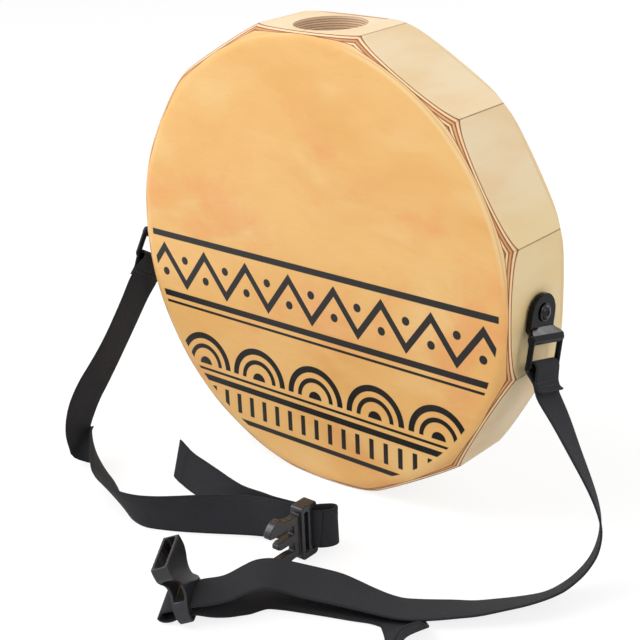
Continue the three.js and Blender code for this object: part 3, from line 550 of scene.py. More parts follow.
@dataclass(frozen=True)
class BirchPly(Finish):
    """Pale birch plywood that reads how deep each point lies below the stave's face."""

    title: str = "pale_birch_plywood"
    face: Triple = srgb(246, 223, 184)
    face_warm: Triple = srgb(241, 208, 158)
    # Painted warm light on the staves towards the right side
    painted_warm_light: Triple = srgb(238, 211, 146)
    face_fibre: Triple = srgb(222, 186, 140)
    face_pore: Triple = srgb(176, 132, 90)
    light_ply: Triple = srgb(253, 226, 180)
    light_fibre: Triple = srgb(240, 196, 140)
    dark_ply: Triple = srgb(234, 177, 123)
    dark_fibre: Triple = srgb(196, 132, 78)
    stained_ply: Triple = srgb(204, 130, 74)
    # Painted light on the sound hole's shaded wall
    painted_hole_light: Triple = srgb(255, 224, 190)
    glue: Triple = srgb(108, 46, 10)
    halo: Triple = srgb(208, 126, 64)
    joint_shadow: Triple = srgb(128, 84, 52)
    lap_bare: Triple = srgb(243, 208, 152)
    lap_honey: Triple = srgb(238, 182, 108)
    warm_light_from: Pair = (0.152, 0.174)
    first_line_mm: float = 0.35
    ply_mm: float = 1.75
    waver_mm: float = 0.22
    skin_mm: Pair = (0.06, 0.2)
    bared_mm: Pair = (0.1, 0.28)
    line_mm: Pair = (0.12, 0.44)
    halo_mm: Pair = (0.25, 0.8)
    hole_edge_mm: Pair = (27.2, 28.0)
    front_fade_mm: Pair = (-28.5, -28.0)
    back_fade_mm: Pair = (26.5, 27.6)
    joint_mm: Pair = (46.1, 46.6)
    lap_mm: float = 2.5
    lap_bare_mm: float = 0.55
    lap_edge_mm: Pair = (-0.1, 0.1)
    lap_line_mm: Pair = (0.1, 0.36)
    lap_flat_share: float = 0.7
    lap_bare_share: float = 0.45

    def surface(self, graph: Graph) -> Flow:
        """Lays out the face veneer, the bared plies, the plate's edge over them and the mitre joints.

        Args:
            graph: The material's tree.

        Returns:
            The shader.
        """
        lay, place = graph.attribute("lay"), graph.place()
        along, across, depth = graph.split(lay)
        x, y, z = graph.split(place)
        fuzz = graph.noise(place, (420, 420, 420), 2.0)
        depth_mm = depth * 1000 + (graph.noise(place, (60, 60, 60), 2.0) - 0.5) * self.waver_mm
        hole = 1 - ((along * along + across * across).root() * 1000).smooth(*self.hole_edge_mm)
        plies, line = self.plies(graph, depth_mm, fuzz, hole)
        fibres = graph.noise(lay, (900, 30, 40), 3.0, 0.65)
        pores = graph.noise(lay, (1500, 110, 200), 1.0)
        figure = graph.noise(lay, (26, 7, 26), 3.0, 0.55)
        face = graph.layered(
            self.face,
            (figure.smooth(0.35, 0.7), self.face_warm),
            (fibres.smooth(0.5, 0.8) * 0.2, self.face_fibre),
            (pores.smooth(0.68, 0.8) * 0.16, self.face_pore),
            # Painted light: the staves towards the right side are tinted yellower, as warm light falls there
            (x.smooth(*self.warm_light_from) * 0.5, self.painted_warm_light),
        )
        # The plies show less at the back's rounding, where they were sanded paler
        front = 1 - (across * 1000).smooth(*self.back_fade_mm) * 0.92
        colour = graph.mix(depth_mm.smooth(*self.bared_mm) * front, face, plies)
        colour = self.lapped(graph, colour, (x, y, z - APOTHEM), depth, fuzz)
        joint = (abs(along) * 1000).smooth(*self.joint_mm)
        colour = graph.mix(joint * (0.25 + fuzz * 0.5), colour, self.joint_shadow)
        height = fibres * 0.5 + pores * 0.2 - line * 0.8
        rough = 0.4 + fibres * 0.1 + depth_mm.smooth(0.1, 0.5) * 0.12
        return graph.principled(
            colour, rough, graph.bump(height, 0.00006, 0.7),
            {"Specular IOR Level": 0.4, "Coat Weight": 0.12, "Coat Roughness": 0.25},
        )

    def plies(self, graph: Graph, depth_mm: Flow, fuzz: Flow, hole: Flow) -> tuple[Flow, Flow]:
        """Lays out the light and dark plies and the glue lines between them.

        Args:
            graph: The material's tree.
            depth_mm: How deep each point lies below the stave's face.
            fuzz: Noise that breaks the lines up.
            hole: The share of the sound hole's wall, where the plies are painted paler as painted light, with
                fainter glue lines and no halo.

        Returns:
            The colour, then the share of glue line.
        """
        lay, place = graph.attribute("lay"), graph.place()
        phase = (depth_mm - self.first_line_mm) / self.ply_mm
        nearest = abs(phase - (phase + 0.5).floor()) * self.ply_mm
        skin = depth_mm.smooth(*self.skin_mm)
        line = (1 - nearest.smooth(*self.line_mm)) * (0.62 + fuzz * 0.5) * skin
        dark = (phase.floor() % 2.0).smooth(0.2, 0.8)
        fibre = graph.noise(lay, (260, 900, 900), 4.0, 0.6)
        end_grain = graph.noise(lay, (900, 900, 900), 3.0, 0.6)
        stain = graph.noise(place, (16, 16, 16), 2.0).smooth(0.48, 0.68)
        halo = (1 - nearest.smooth(*self.halo_mm)) * (1 - hole) * skin
        colour = graph.layered(
            self.light_ply,
            (dark, self.dark_ply),
            (stain * dark * 0.75, self.stained_ply),
            (fibre * 0.3 * (1 - dark), self.light_fibre),
            (end_grain.smooth(0.45, 0.75) * 0.5 * dark, self.dark_fibre),
            # Painted light: the sound hole's shaded wall is painted paler, and its glue lines fainter below
            (hole * 0.7, self.painted_hole_light),
            (halo * 0.55, self.halo),
            (line.least(1.0) * (1 - hole * 0.25), self.glue),
        )
        return colour, line

    def lapped(
        self, graph: Graph, colour: Flow, spot: tuple[Flow, Flow, Flow], depth: Flow, fuzz: Flow
    ) -> Flow:
        """Lays the plate's sanded edge over the first plies: round where bare, else nearly along the flats.

        Args:
            graph: The material's tree.
            colour: The colour below it.
            spot: A point's X, its Y, and its height above the drum's axis.
            depth: How deep it lies below the stave's face, in metres.
            fuzz: Noise that breaks the edge's line up.

        Returns:
            The colour with the edge and its glue line.
        """
        x, y, up = spot
        bare = bare_side(x, up)
        share = self.lap_flat_share - bare * self.lap_bare_share
        reach = ((x * x + up * up).root() - APOTHEM) * 1000 * (1 - share) - depth * 1000 * share
        beyond = reach + self.lap_mm - bare * self.lap_bare_mm
        front = 1 - (y * 1000).smooth(*self.front_fade_mm)
        lap = (1 - beyond.smooth(*self.lap_edge_mm)) * front
        line = (1 - abs(beyond).smooth(*self.lap_line_mm)) * (0.55 + fuzz * 0.5) * front
        edge = graph.mix(bare, self.lap_honey, self.lap_bare)
        return graph.layered(colour, (lap, edge), (line.least(1.0), self.glue))


def bare_side(across: Flow, up: Flow) -> Flow:
    """Gives 1 along the part of the rim where the honey veneer is sanded away, and 0 elsewhere."""
    return (across * BARE_TOWARDS[0] + up * BARE_TOWARDS[1]).smooth(*BARE_FADE)


@dataclass(frozen=True)
class HoneyPly(Finish):
    """The playing plate's honey-coloured veneer, printed with plain geometric bands."""

    title: str = "honey_birch_plate"
    honey: Triple = srgb(243, 193, 120)
    amber: Triple = srgb(233, 173, 96)
    straw: Triple = srgb(244, 204, 138)
    russet: Triple = srgb(238, 164, 100)
    curl_brown: Triple = srgb(216, 150, 82)
    fibre_brown: Triple = srgb(210, 146, 78)
    pore_brown: Triple = srgb(164, 108, 60)
    edge: Triple = srgb(243, 208, 152)
    edge_line: Triple = srgb(170, 116, 66)
    ink: Triple = srgb(22, 20, 19)
    honey_radius: float = 0.1705
    worn_width: float = 0.0026
    print_radius: float = 0.1660
    print_fade: float = 0.0006
    ink_softness: float = 0.00015
    stripes: tuple[Pair, ...] = (
        (-0.002, 0.0026), (-0.0525, 0.0026), (-0.0595, 0.0011),
        (-0.111, 0.0011), (-0.118, 0.0026), (-0.1475, 0.002),
    )
    zigzag_up: float = -0.0275
    zigzag_period: float = 0.044
    zigzag_rise: float = 0.0145
    zigzag_half: float = 0.0042
    dot_offset: float = 0.0065
    dot_edge: Pair = (0.0032, 0.0035)
    arch_foot: float = -0.1065
    arch_pitch: float = 0.058
    arch_bands: tuple[Pair, ...] = ((0.0245, 0.0026), (0.0155, 0.0019))
    arch_core: Pair = (0.0062, 0.0065)
    tick_pitch: float = 0.0135
    tick_half: float = 0.0021
    tick_row: Pair = (-0.1325, 0.0085)

    def surface(self, graph: Graph) -> Flow:
        """Lays out the horizontal figure, fibres, pores, the sanded rim and the printed bands.

        Args:
            graph: The material's tree.

        Returns:
            The shader.
        """
        lay = graph.attribute("lay")
        across, up, depth = graph.split(lay)
        warp = graph.noise(lay, (5.5, 9, 0), 3.0, 0.5)
        bend = graph.join(across, up + (warp - 0.5) * 0.09, 0.0)
        figure = graph.noise(bend, (6, 13, 0), 4.0, 0.6)
        blotch = graph.noise(bend, (13, 20, 0), 2.0, 0.5)
        curl = graph.noise(bend, (14, 90, 0), 4.0, 0.65)
        fibres = graph.noise(bend, (45, 1100, 0), 3.0, 0.6)
        pores = graph.noise(bend, (170, 1600, 0), 1.0)
        flame = graph.noise(bend, (10, 15, 0), 4.0, 0.6)
        colour = graph.layered(
            self.honey,
            (figure.smooth(0.34, 0.68) * 0.8, self.amber),
            (blotch.smooth(0.48, 0.72) * 0.65, self.straw),
            (curl.smooth(0.6, 0.8) * 0.12, self.curl_brown),
            (flame.smooth(0.5, 0.66) * 0.65, self.russet),
            (fibres.smooth(0.45, 0.85) * 0.16, self.fibre_brown),
            (pores.smooth(0.7, 0.82) * 0.3, self.pore_brown),
        )
        radius = (across * across + up * up).root()
        printed = 1 - radius.smooth(self.print_radius, self.print_radius + self.print_fade)
        printed = self.border(across, up) * printed
        # Towards the rim the veneer is sanded through to the pale plies on the upper right
        radius = radius + (blotch - 0.5) * 0.002
        worn = radius.smooth(self.honey_radius - self.worn_width, self.honey_radius)
        worn = worn * bare_side(across, up) * 0.8
        edge_line = (1 - abs(depth * 1000 - 0.85).smooth(0.05, 0.22)) * 0.35
        edge = graph.mix(edge_line, self.edge, self.edge_line)
        colour = graph.layered(colour, (printed, self.ink), (worn, edge))
        rough = 0.34 + fibres * 0.1 + worn * 0.12 - printed * (1 - worn) * 0.04
        return graph.principled(
            colour, rough, graph.bump(fibres * 0.6 + pores * 0.2, 0.00004, 0.6),
            {"Specular IOR Level": 0.38, "Coat Weight": 0.08, "Coat Roughness": 0.22},
        )

    def band(self, value: Flow, middle: float, half: float) -> Flow:
        """Gives 1 within a stripe and 0 outside it, with a crisp printed edge."""
        return 1 - abs(value - middle).smooth(half - self.ink_softness, half + self.ink_softness)

    @staticmethod
    def repeated(value: Flow, pitch: float) -> Flow:
        """Counts a value from the middle of its nearest repeat."""
        return (value + pitch / 2) % pitch - pitch / 2

    def border(self, x: Flow, up: Flow) -> Flow:
        """Draws bands of stripes, zigzags, dots, arches and ticks across the lower half of the plate.

        Args:
            x: How far across the plate a point lies, in metres.
            up: How far above the plate's middle it lies.

        Returns:
            The share of ink at each point.
        """
        ink = self.zigzag(x, up - self.zigzag_up)
        for middle, half in self.stripes:
            ink = ink.most(self.band(up, middle, half))
        # Arches that stand on the lower double stripe
        arch_x, arch_up = self.repeated(x, self.arch_pitch), up - self.arch_foot
        reach = (arch_x * arch_x + arch_up * arch_up).root()
        arches = 1 - reach.smooth(*self.arch_core)
        for radius, half in self.arch_bands:
            arches = arches.most(self.band(reach, radius, half))
        # A row of upright ticks under the stripes
        ticks = self.band(self.repeated(x, self.tick_pitch), 0.0, self.tick_half)
        return ink.most(arches * (arch_up > 0.0)).most(ticks * self.band(up, *self.tick_row))

    def zigzag(self, x: Flow, up: Flow) -> Flow:
        """Draws a wide zigzag with a dot in each hollow.

        Args:
            x: How far across the plate a point lies, in metres.
            up: How far above the zigzag's middle it lies.

        Returns:
            The share of ink at each point.
        """
        period, rise = self.zigzag_period, self.zigzag_rise
        wave = abs(self.repeated(x, period)) * (4 * rise / period) - rise
        dot_x = self.repeated(x, period / 2)
        flip = (((x + period / 4) / (period / 2)).floor() % 2.0) * 2 - 1
        dot_up = up + flip * self.dot_offset
        dots = 1 - (dot_x * dot_x + dot_up * dot_up).root().smooth(*self.dot_edge)
        return self.band(up - wave, 0.0, self.zigzag_half).most(dots)


@dataclass(frozen=True)
class Webbing(Finish):
    """Black woven webbing that reads its place across and along the band, in metres."""

    title: str = "black_webbing"
    thread: Triple = srgb(54, 55, 59)
    shadow: Triple = srgb(40, 40, 44)
    lint: Triple = srgb(96, 97, 102)
    selvedge: Triple = srgb(30, 30, 33)
    selvedge_from: Pair = (0.0128, 0.0138)
    cord_pitch: float = 0.00125
    pick_pitch: float = 0.0016

    def surface(self, graph: Graph) -> Flow:
        """Lays out staggered threads, the firmer edges and a little lint.

        Args:
            graph: The material's tree.

        Returns:
            The shader.
        """
        weave = graph.attribute("weave")
        across, along, _ = graph.split(weave)
        row = along / self.pick_pitch
        stagger = (row.floor() % 2.0) * 0.5
        cell = ((across / self.cord_pitch + stagger) % 1.0) * 2 - 1
        pick = (row % 1.0) * 2 - 1
        thread = (1 - cell * cell) * (1 - pick * pick * 0.5)
        selvedge = abs(across).smooth(*self.selvedge_from)
        lint = graph.noise(weave, (900, 300, 1), 3.0, 0.7)
        fade = graph.noise(weave, (40, 14, 1), 2.0)
        colour = graph.layered(
            self.shadow,
            (thread * 0.55 + fade * 0.4, self.thread),
            (lint.smooth(0.62, 0.85) * 0.22, self.lint),
            (selvedge * 0.35, self.selvedge),
        )
        return graph.principled(
            colour, 0.8 + lint * 0.16, graph.bump(thread + lint * 0.2, 0.00011, 0.7),
            {"Specular IOR Level": 0.14, "Sheen Weight": 0.03, "Sheen Roughness": 0.5},
        )


@dataclass(frozen=True)
class Thread(Finish):
    """Black twisted sewing thread."""

    title: str = "black_thread"
    hollow: Triple = srgb(24, 24, 26)
    ridge: Triple = srgb(58, 58, 62)
    twists_per_metre: float = 2600

    def surface(self, graph: Graph) -> Flow:
        """Lays out the twist of the thread, with painted shade in its hollows.

        Args:
            graph: The material's tree.

        Returns:
            The shader.
        """
        x, y, z = graph.split(graph.place())
        twist = ((x + y * 0.8 + z * 1.2) * self.twists_per_metre) % 1.0
        # Painted shade: each twist darkens towards its hollow
        colour = graph.mix(twist, self.hollow, self.ridge)
        return graph.principled(colour, 0.6, graph.bump(twist, 0.00005, 0.6), {"Sheen Weight": 0.1})


@dataclass(frozen=True)
class Moulding(Finish):
    """Black moulded plastic, with a faint flow pattern and rubbed patches."""

    title: str = "black_plastic"
    colour: Triple = srgb(24, 24, 26)
    rubbed: Triple = srgb(44, 44, 47)
    roughness: float = 0.24
    grain: float = 0.00002
    index: float = 1.45

    def surface(self, graph: Graph) -> Flow:
        """Lays out a fine pebble, soft scuffs and the moulding's slow ripple.

        Args:
            graph: The material's tree.

        Returns:
            The shader.
        """
        place = graph.place()
        pebble = graph.noise(place, (1800, 1800, 1800), 2.0, 0.5)
        scuff = graph.noise(place, (170, 130, 150), 5.0, 0.7).smooth(0.5, 0.78)
        under = graph.bump(graph.noise(place, (90, 90, 90), 1.0), 0.0003, 0.35)
        colour = graph.mix(scuff * 0.5, self.colour, self.rubbed)
        rough = self.roughness + scuff * 0.16 + pebble * 0.05
        normal = graph.bump(pebble, self.grain, 0.6, under)
        return graph.principled(colour, rough, normal, {"IOR": self.index})


@dataclass(frozen=True)
class Steel(Finish):
    """Steel, bright or blackened, with fine turned marks."""

    title: str = "bright_steel"
    colour: Triple = srgb(196, 198, 201)
    worn: Triple = srgb(150, 150, 150)
    metallic: float = 1.0
    roughness: float = 0.24

    def surface(self, graph: Graph) -> Flow:
        """Lays out fine marks and dull spots.

        Args:
            graph: The material's tree.

        Returns:
            The shader.
        """
        place = graph.place()
        marks = graph.noise(place, (2600, 2600, 300), 2.0, 0.6)
        spots = graph.noise(place, (300, 300, 300), 4.0, 0.65).smooth(0.52, 0.75)
        colour = graph.mix(spots * 0.6, self.colour, self.worn)
        rough = self.roughness + marks * 0.12 + spots * 0.15
        return graph.principled(
            colour, rough, graph.bump(marks, 0.00001, 0.5), {"Metallic": self.metallic - spots * 0.15}
        )


@dataclass(frozen=True)
class Hardwood(Finish):
    """The snare rail's bare planed hardwood, with its grain along X."""

    title: str = "planed_hardwood"
    early: Triple = srgb(214, 178, 130)
    late: Triple = srgb(186, 144, 96)
    fibre: Triple = srgb(150, 108, 68)
    rings_per_metre: float = 260

    def surface(self, graph: Graph) -> Flow:
        """Lays out growth rings and fibres.

        Args:
            graph: The material's tree.

        Returns:
            The shader.
        """
        place = graph.place()
        warp = graph.noise(place, (6, 40, 40), 2.0)
        _, y, z = graph.split(place)
        rings = ((z + y * 0.6 + (warp - 0.5) * 0.012) * self.rings_per_metre) % 1.0
        fibres = graph.noise(place, (60, 1200, 1200), 3.0, 0.6)
        colour = graph.mix(rings.smooth(0.2, 1.0), self.early, self.late)
        colour = graph.mix(fibres.smooth(0.5, 0.8) * 0.5, colour, self.fibre)
        return graph.principled(colour, 0.55 + fibres * 0.15, graph.bump(fibres, 0.00008, 0.7), {})


BIRCH = BirchPly()
HONEY = HoneyPly()
WEBBING = Webbing()
THREAD = Thread()
BRACKET_PLASTIC = Moulding(
    "bracket_plastic", colour=srgb(10, 10, 11), rubbed=srgb(24, 24, 26), roughness=0.13, grain=0.00001,
    index=1.24,
)
BUCKLE_PLASTIC = Moulding()
BRIGHT_STEEL = Steel()
BLACK_STEEL = Steel(
    "blackened_steel", colour=srgb(44, 44, 47), worn=srgb(70, 68, 66), metallic=0.75, roughness=0.12
)
HARDWOOD = Hardwood()


# Mesh helpers


def placed(name: str, data: bpy.types.ID) -> bpy.types.Object:
    """Makes an object of a mesh, a lamp or a camera and puts it in the scene.

    Args:
        name: The object's name.
        data: The mesh, lamp or camera.

    Returns:
        The new object.
    """
    made = bpy.data.objects.new(name, data)
    bpy.context.scene.collection.objects.link(made)
    return made


@contextmanager
def editing(mesh: bpy.types.Mesh) -> Iterator[bmesh.types.BMesh]:
    """Opens a mesh for editing, and writes it back at the end.

    Args:
        mesh: The mesh to edit.

    Returns:
        What edits it, as long as the with block runs.
    """
    opened = bmesh.new()
    opened.from_mesh(mesh)
    yield opened
    opened.to_mesh(mesh)
    opened.free()


def smooth_faces(piece: bpy.types.Object, smooth: bool = True) -> None:
    """Shades all of a piece's faces smooth, or all flat."""
    piece.data.polygons.foreach_set("use_smooth", [smooth] * len(piece.data.polygons))


def mesh_piece(name: str, points: Sequence, faces: list[list[int]], smooth: bool = True) -> bpy.types.Object:
    """Makes an object from points and faces.

    Args:
        name: The piece's name.
        points: Its corners, in metres.
        faces: The corners of each face.
        smooth: Whether the faces are shaded smooth.

    Returns:
        The new object, at the origin.
    """
    mesh = bpy.data.meshes.new(name)
    mesh.from_pydata([tuple(p) for p in points], [], faces)
    piece = placed(name, mesh)
    smooth_faces(piece, smooth)
    mesh.update()
    return piece


def line_piece(name: str, rows: list[np.ndarray]) -> bpy.types.Object:
    """Makes an object of lines of edges, for a recipe to take up.

    Args:
        name: The piece's name.
        rows: The points that each line runs through.

    Returns:
        The new object, at the origin.
    """
    points, edges = [], []
    for row in rows:
        edges += [(len(points) + step, len(points) + step + 1) for step in range(len(row) - 1)]
        points += [tuple(p) for p in row]
    mesh = bpy.data.meshes.new(name)
    mesh.from_pydata(points, edges, [])
    return placed(name, mesh)


def grid_faces(rows: int, columns: int, closed: bool = True) -> list[list[int]]:
    """Gives the four-cornered faces between rows of points.

    Args:
        rows: How many rows there are.
        columns: How many points are in a row.
        closed: Whether each row's last point joins its first.

    Returns:
        The corners of each face.
    """
    faces = []
    for row in range(rows - 1):
        for step in range(columns if closed else columns - 1):
            a, b = row * columns + step, row * columns + (step + 1) % columns
            faces.append([a, b, b + columns, a + columns])
    return faces


def settle(piece: bpy.types.Object) -> bpy.types.Object:
    """Turns a piece's modifiers into its plain mesh.

    Args:
        piece: The piece with the modifiers.

    Returns:
        The same piece, without them.
    """
    bpy.context.view_layer.update()
    graph = bpy.context.evaluated_depsgraph_get()
    made = bpy.data.meshes.new_from_object(
        piece.evaluated_get(graph), preserve_all_data_layers=True, depsgraph=graph
    )
    old = piece.data
    piece.modifiers.clear()
    piece.data = made
    made.name = piece.name
    if old.users == 0:
        bpy.data.meshes.remove(old)
    return piece


def store(piece: bpy.types.Object, name: str, values: np.ndarray) -> None:
    """Writes a vector for each point of a piece, for its material to read."""
    layer = piece.data.attributes.new(name, "FLOAT_VECTOR", "POINT")
    layer.data.foreach_set("vector", np.asarray(values, np.float32).ravel())


def points_of(piece: bpy.types.Object) -> np.ndarray:
    """Gives a piece's points as rows.

    Args:
        piece: The piece.

    Returns:
        One row for each point.
    """
    flat = np.empty(len(piece.data.vertices) * 3, np.float32)
    piece.data.vertices.foreach_get("co", flat)
    return flat.reshape(-1, 3).astype(float)


def move_points(piece: bpy.types.Object, points: np.ndarray) -> None:
    """Puts a piece's points at new places."""
    piece.data.vertices.foreach_set("co", np.asarray(points, np.float32).ravel())
    piece.data.update()


def lengths_along(line: np.ndarray) -> np.ndarray:
    """Gives how far along a line each of its points lies."""
    return np.concatenate([[0.0], np.cumsum(np.linalg.norm(np.diff(line, axis=0), axis=1))])


def sampled(values: np.ndarray, lengths: np.ndarray, at: np.ndarray) -> np.ndarray:
    """Gives rows of values, which are known at some lengths, at other lengths."""
    return np.stack([np.interp(at, lengths, values[:, axis]) for axis in range(3)], axis=1)


def turned_piece(name: str, profile: list[Pair], segments: int) -> bpy.types.Object:
    """Turns a closed profile about the Z axis.

    Args:
        name: The piece's name.
        profile: (radius, height) points; those on the axis have radius 0.
        segments: How many steps make the full turn.

    Returns:
        The turned piece, closed at its poles.
    """
    points: list[Triple] = []
    rings: list[list[int]] = []
    for radius, height in profile:
        if radius < 1e-9:
            rings.append([len(points)] * segments)
            points.append((0.0, 0.0, height))
            continue
        rings.append(list(range(len(points), len(points) + segments)))
        for step in range(segments):
            angle = 2 * math.pi * step / segments
            points.append((radius * math.cos(angle), radius * math.sin(angle), height))
    faces = []
    for low, high in zip(rings, rings[1:]):
        for step in range(segments):
            after = (step + 1) % segments
            face = [low[step], low[after], high[after], high[step]]
            faces.append(list(dict.fromkeys(face)))
    piece = mesh_piece(name, points, [f for f in faces if len(f) > 2])
    outward(piece)
    return piece


def rod(name: str, radius: float, low: float, high: float, segments: int, place: Matrix) -> bpy.types.Object:
    """Makes a round rod along Z between two heights, then puts it in its place."""
    made = turned_piece(name, [(0, low), (radius, low), (radius, high), (0, high)], segments)
    made.data.transform(place)
    return made


def box(name: str, sizes: Triple, place: Matrix) -> bpy.types.Object:
    """Makes a box round the origin, then puts it in its place.

    Args:
        name: The piece's name.
        sizes: Its size along each axis.
        place: Where it goes from the origin.

    Returns:
        The box.
    """
    mesh = bpy.data.meshes.new(name)
    with editing(mesh) as opened:
        bmesh.ops.create_cube(opened, size=1.0, matrix=place @ Matrix.Diagonal((*sizes, 1.0)))
    return placed(name, mesh)


def prism(name: str, outline: list[Pair], low: float, high: float) -> bpy.types.Object:
    """Makes a closed prism from an outline in X and Y between two heights.

    Args:
        name: The piece's name.
        outline: The (X, Y) corners.
        low: The lower height.
        high: The upper height.

    Returns:
        The prism.
    """
    count = len(outline)
    points = [(x, y, z) for z in (low, high) for x, y in outline]
    caps = [list(range(count)), list(range(count, 2 * count))]
    piece = mesh_piece(name, points, caps + grid_faces(2, count), False)
    outward(piece)
    return piece


def outward(piece: bpy.types.Object) -> None:
    """Makes a closed piece's faces point outwards."""
    with editing(piece.data) as mesh:
        bmesh.ops.remove_doubles(mesh, verts=mesh.verts, dist=SAME_POINT)
        bmesh.ops.recalc_face_normals(mesh, faces=mesh.faces)


def shade(piece: bpy.types.Object, angle: float = 28.0) -> None:
    """Shades a piece smooth, apart from the edges that turn by more than an angle.

    Args:
        piece: The piece to shade.
        angle: The angle in degrees.
    """
    smooth_faces(piece)
    with editing(piece.data) as mesh:
        for edge in mesh.edges:
            edge.smooth = len(edge.link_faces) != 2 or edge.calc_face_angle(0.0) < math.radians(angle)


def drilled(piece: bpy.types.Object, cutter: bpy.types.Object) -> bpy.types.Object:
    """Takes one closed piece out of another.

    Args:
        piece: The piece to cut.
        cutter: What is taken out of it, and then removed.

    Returns:
        The cut piece.
    """
    modifier = piece.modifiers.new("cut", "BOOLEAN")
    modifier.operation = "DIFFERENCE"
    modifier.solver = "EXACT"
    modifier.object = cutter
    settle(piece)
    bpy.data.objects.remove(cutter)
    return piece


def moulded(
    name: str, node: bpy.types.Object, voxel: float, passes: int,
    extras: Sequence[bpy.types.Object] = (), cutters: Sequence[bpy.types.Object] = (),
) -> bpy.types.Object:
    """Rounds a packed moulding's edges, with finer forms added to it and cut from it.

    Args:
        name: The new piece's name.
        node: The CAD node with the moulding's main shape.
        voxel: The size of the grid that the surface is drawn on, in metres.
        passes: How often the surface is relaxed, which rounds its edges.
        extras: Closed forms that are fused to it, which are removed.
        cutters: Closed forms that are cut from it, which are removed.

    Returns:
        The moulding as one closed smooth piece.
    """
    piece = placed(name, node.data.copy())
    with editing(piece.data) as mesh:
        bmesh.ops.remove_doubles(mesh, verts=mesh.verts, dist=SAME_CAD_POINT)
    for cutter in cutters:
        drilled(piece, cutter)
    with editing(piece.data) as mesh:
        for extra in extras:
            mesh.from_mesh(extra.data)
            bpy.data.objects.remove(extra)
    remesh = piece.modifiers.new("skin", "REMESH")
    remesh.mode = "VOXEL"
    remesh.voxel_size = voxel
    relax = piece.modifiers.new("relax", "SMOOTH")
    relax.factor = 0.5
    relax.iterations = passes
    settle(piece)
    smooth_faces(piece)
    return piece


def dress(piece: bpy.types.Object, finish: Finish) -> bpy.types.Object:
    """Gives every face of a piece one finish.

    Args:
        piece: The piece.
        finish: What it wears.

    Returns:
        The same piece.
    """
    piece.data.materials.clear()
    piece.data.materials.append(finish.material())
    return piece


def enlist(piece: bpy.types.Object, body: str, slot: str, *nodes: str) -> bpy.types.Object:
    """Makes a finished piece ride on its body and stand for its CAD nodes.

    Args:
        piece: The finished piece.
        body: The CAD body that it moves with.
        slot: Not used.
        nodes: The CAD nodes that it replaces.

    Returns:
        The same piece.
    """
    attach(piece, body)
    if nodes:
        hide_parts(*nodes)
    LOG.info("%s: %d faces on %s", piece.name, len(piece.data.polygons), body)
    return piece


# The studio


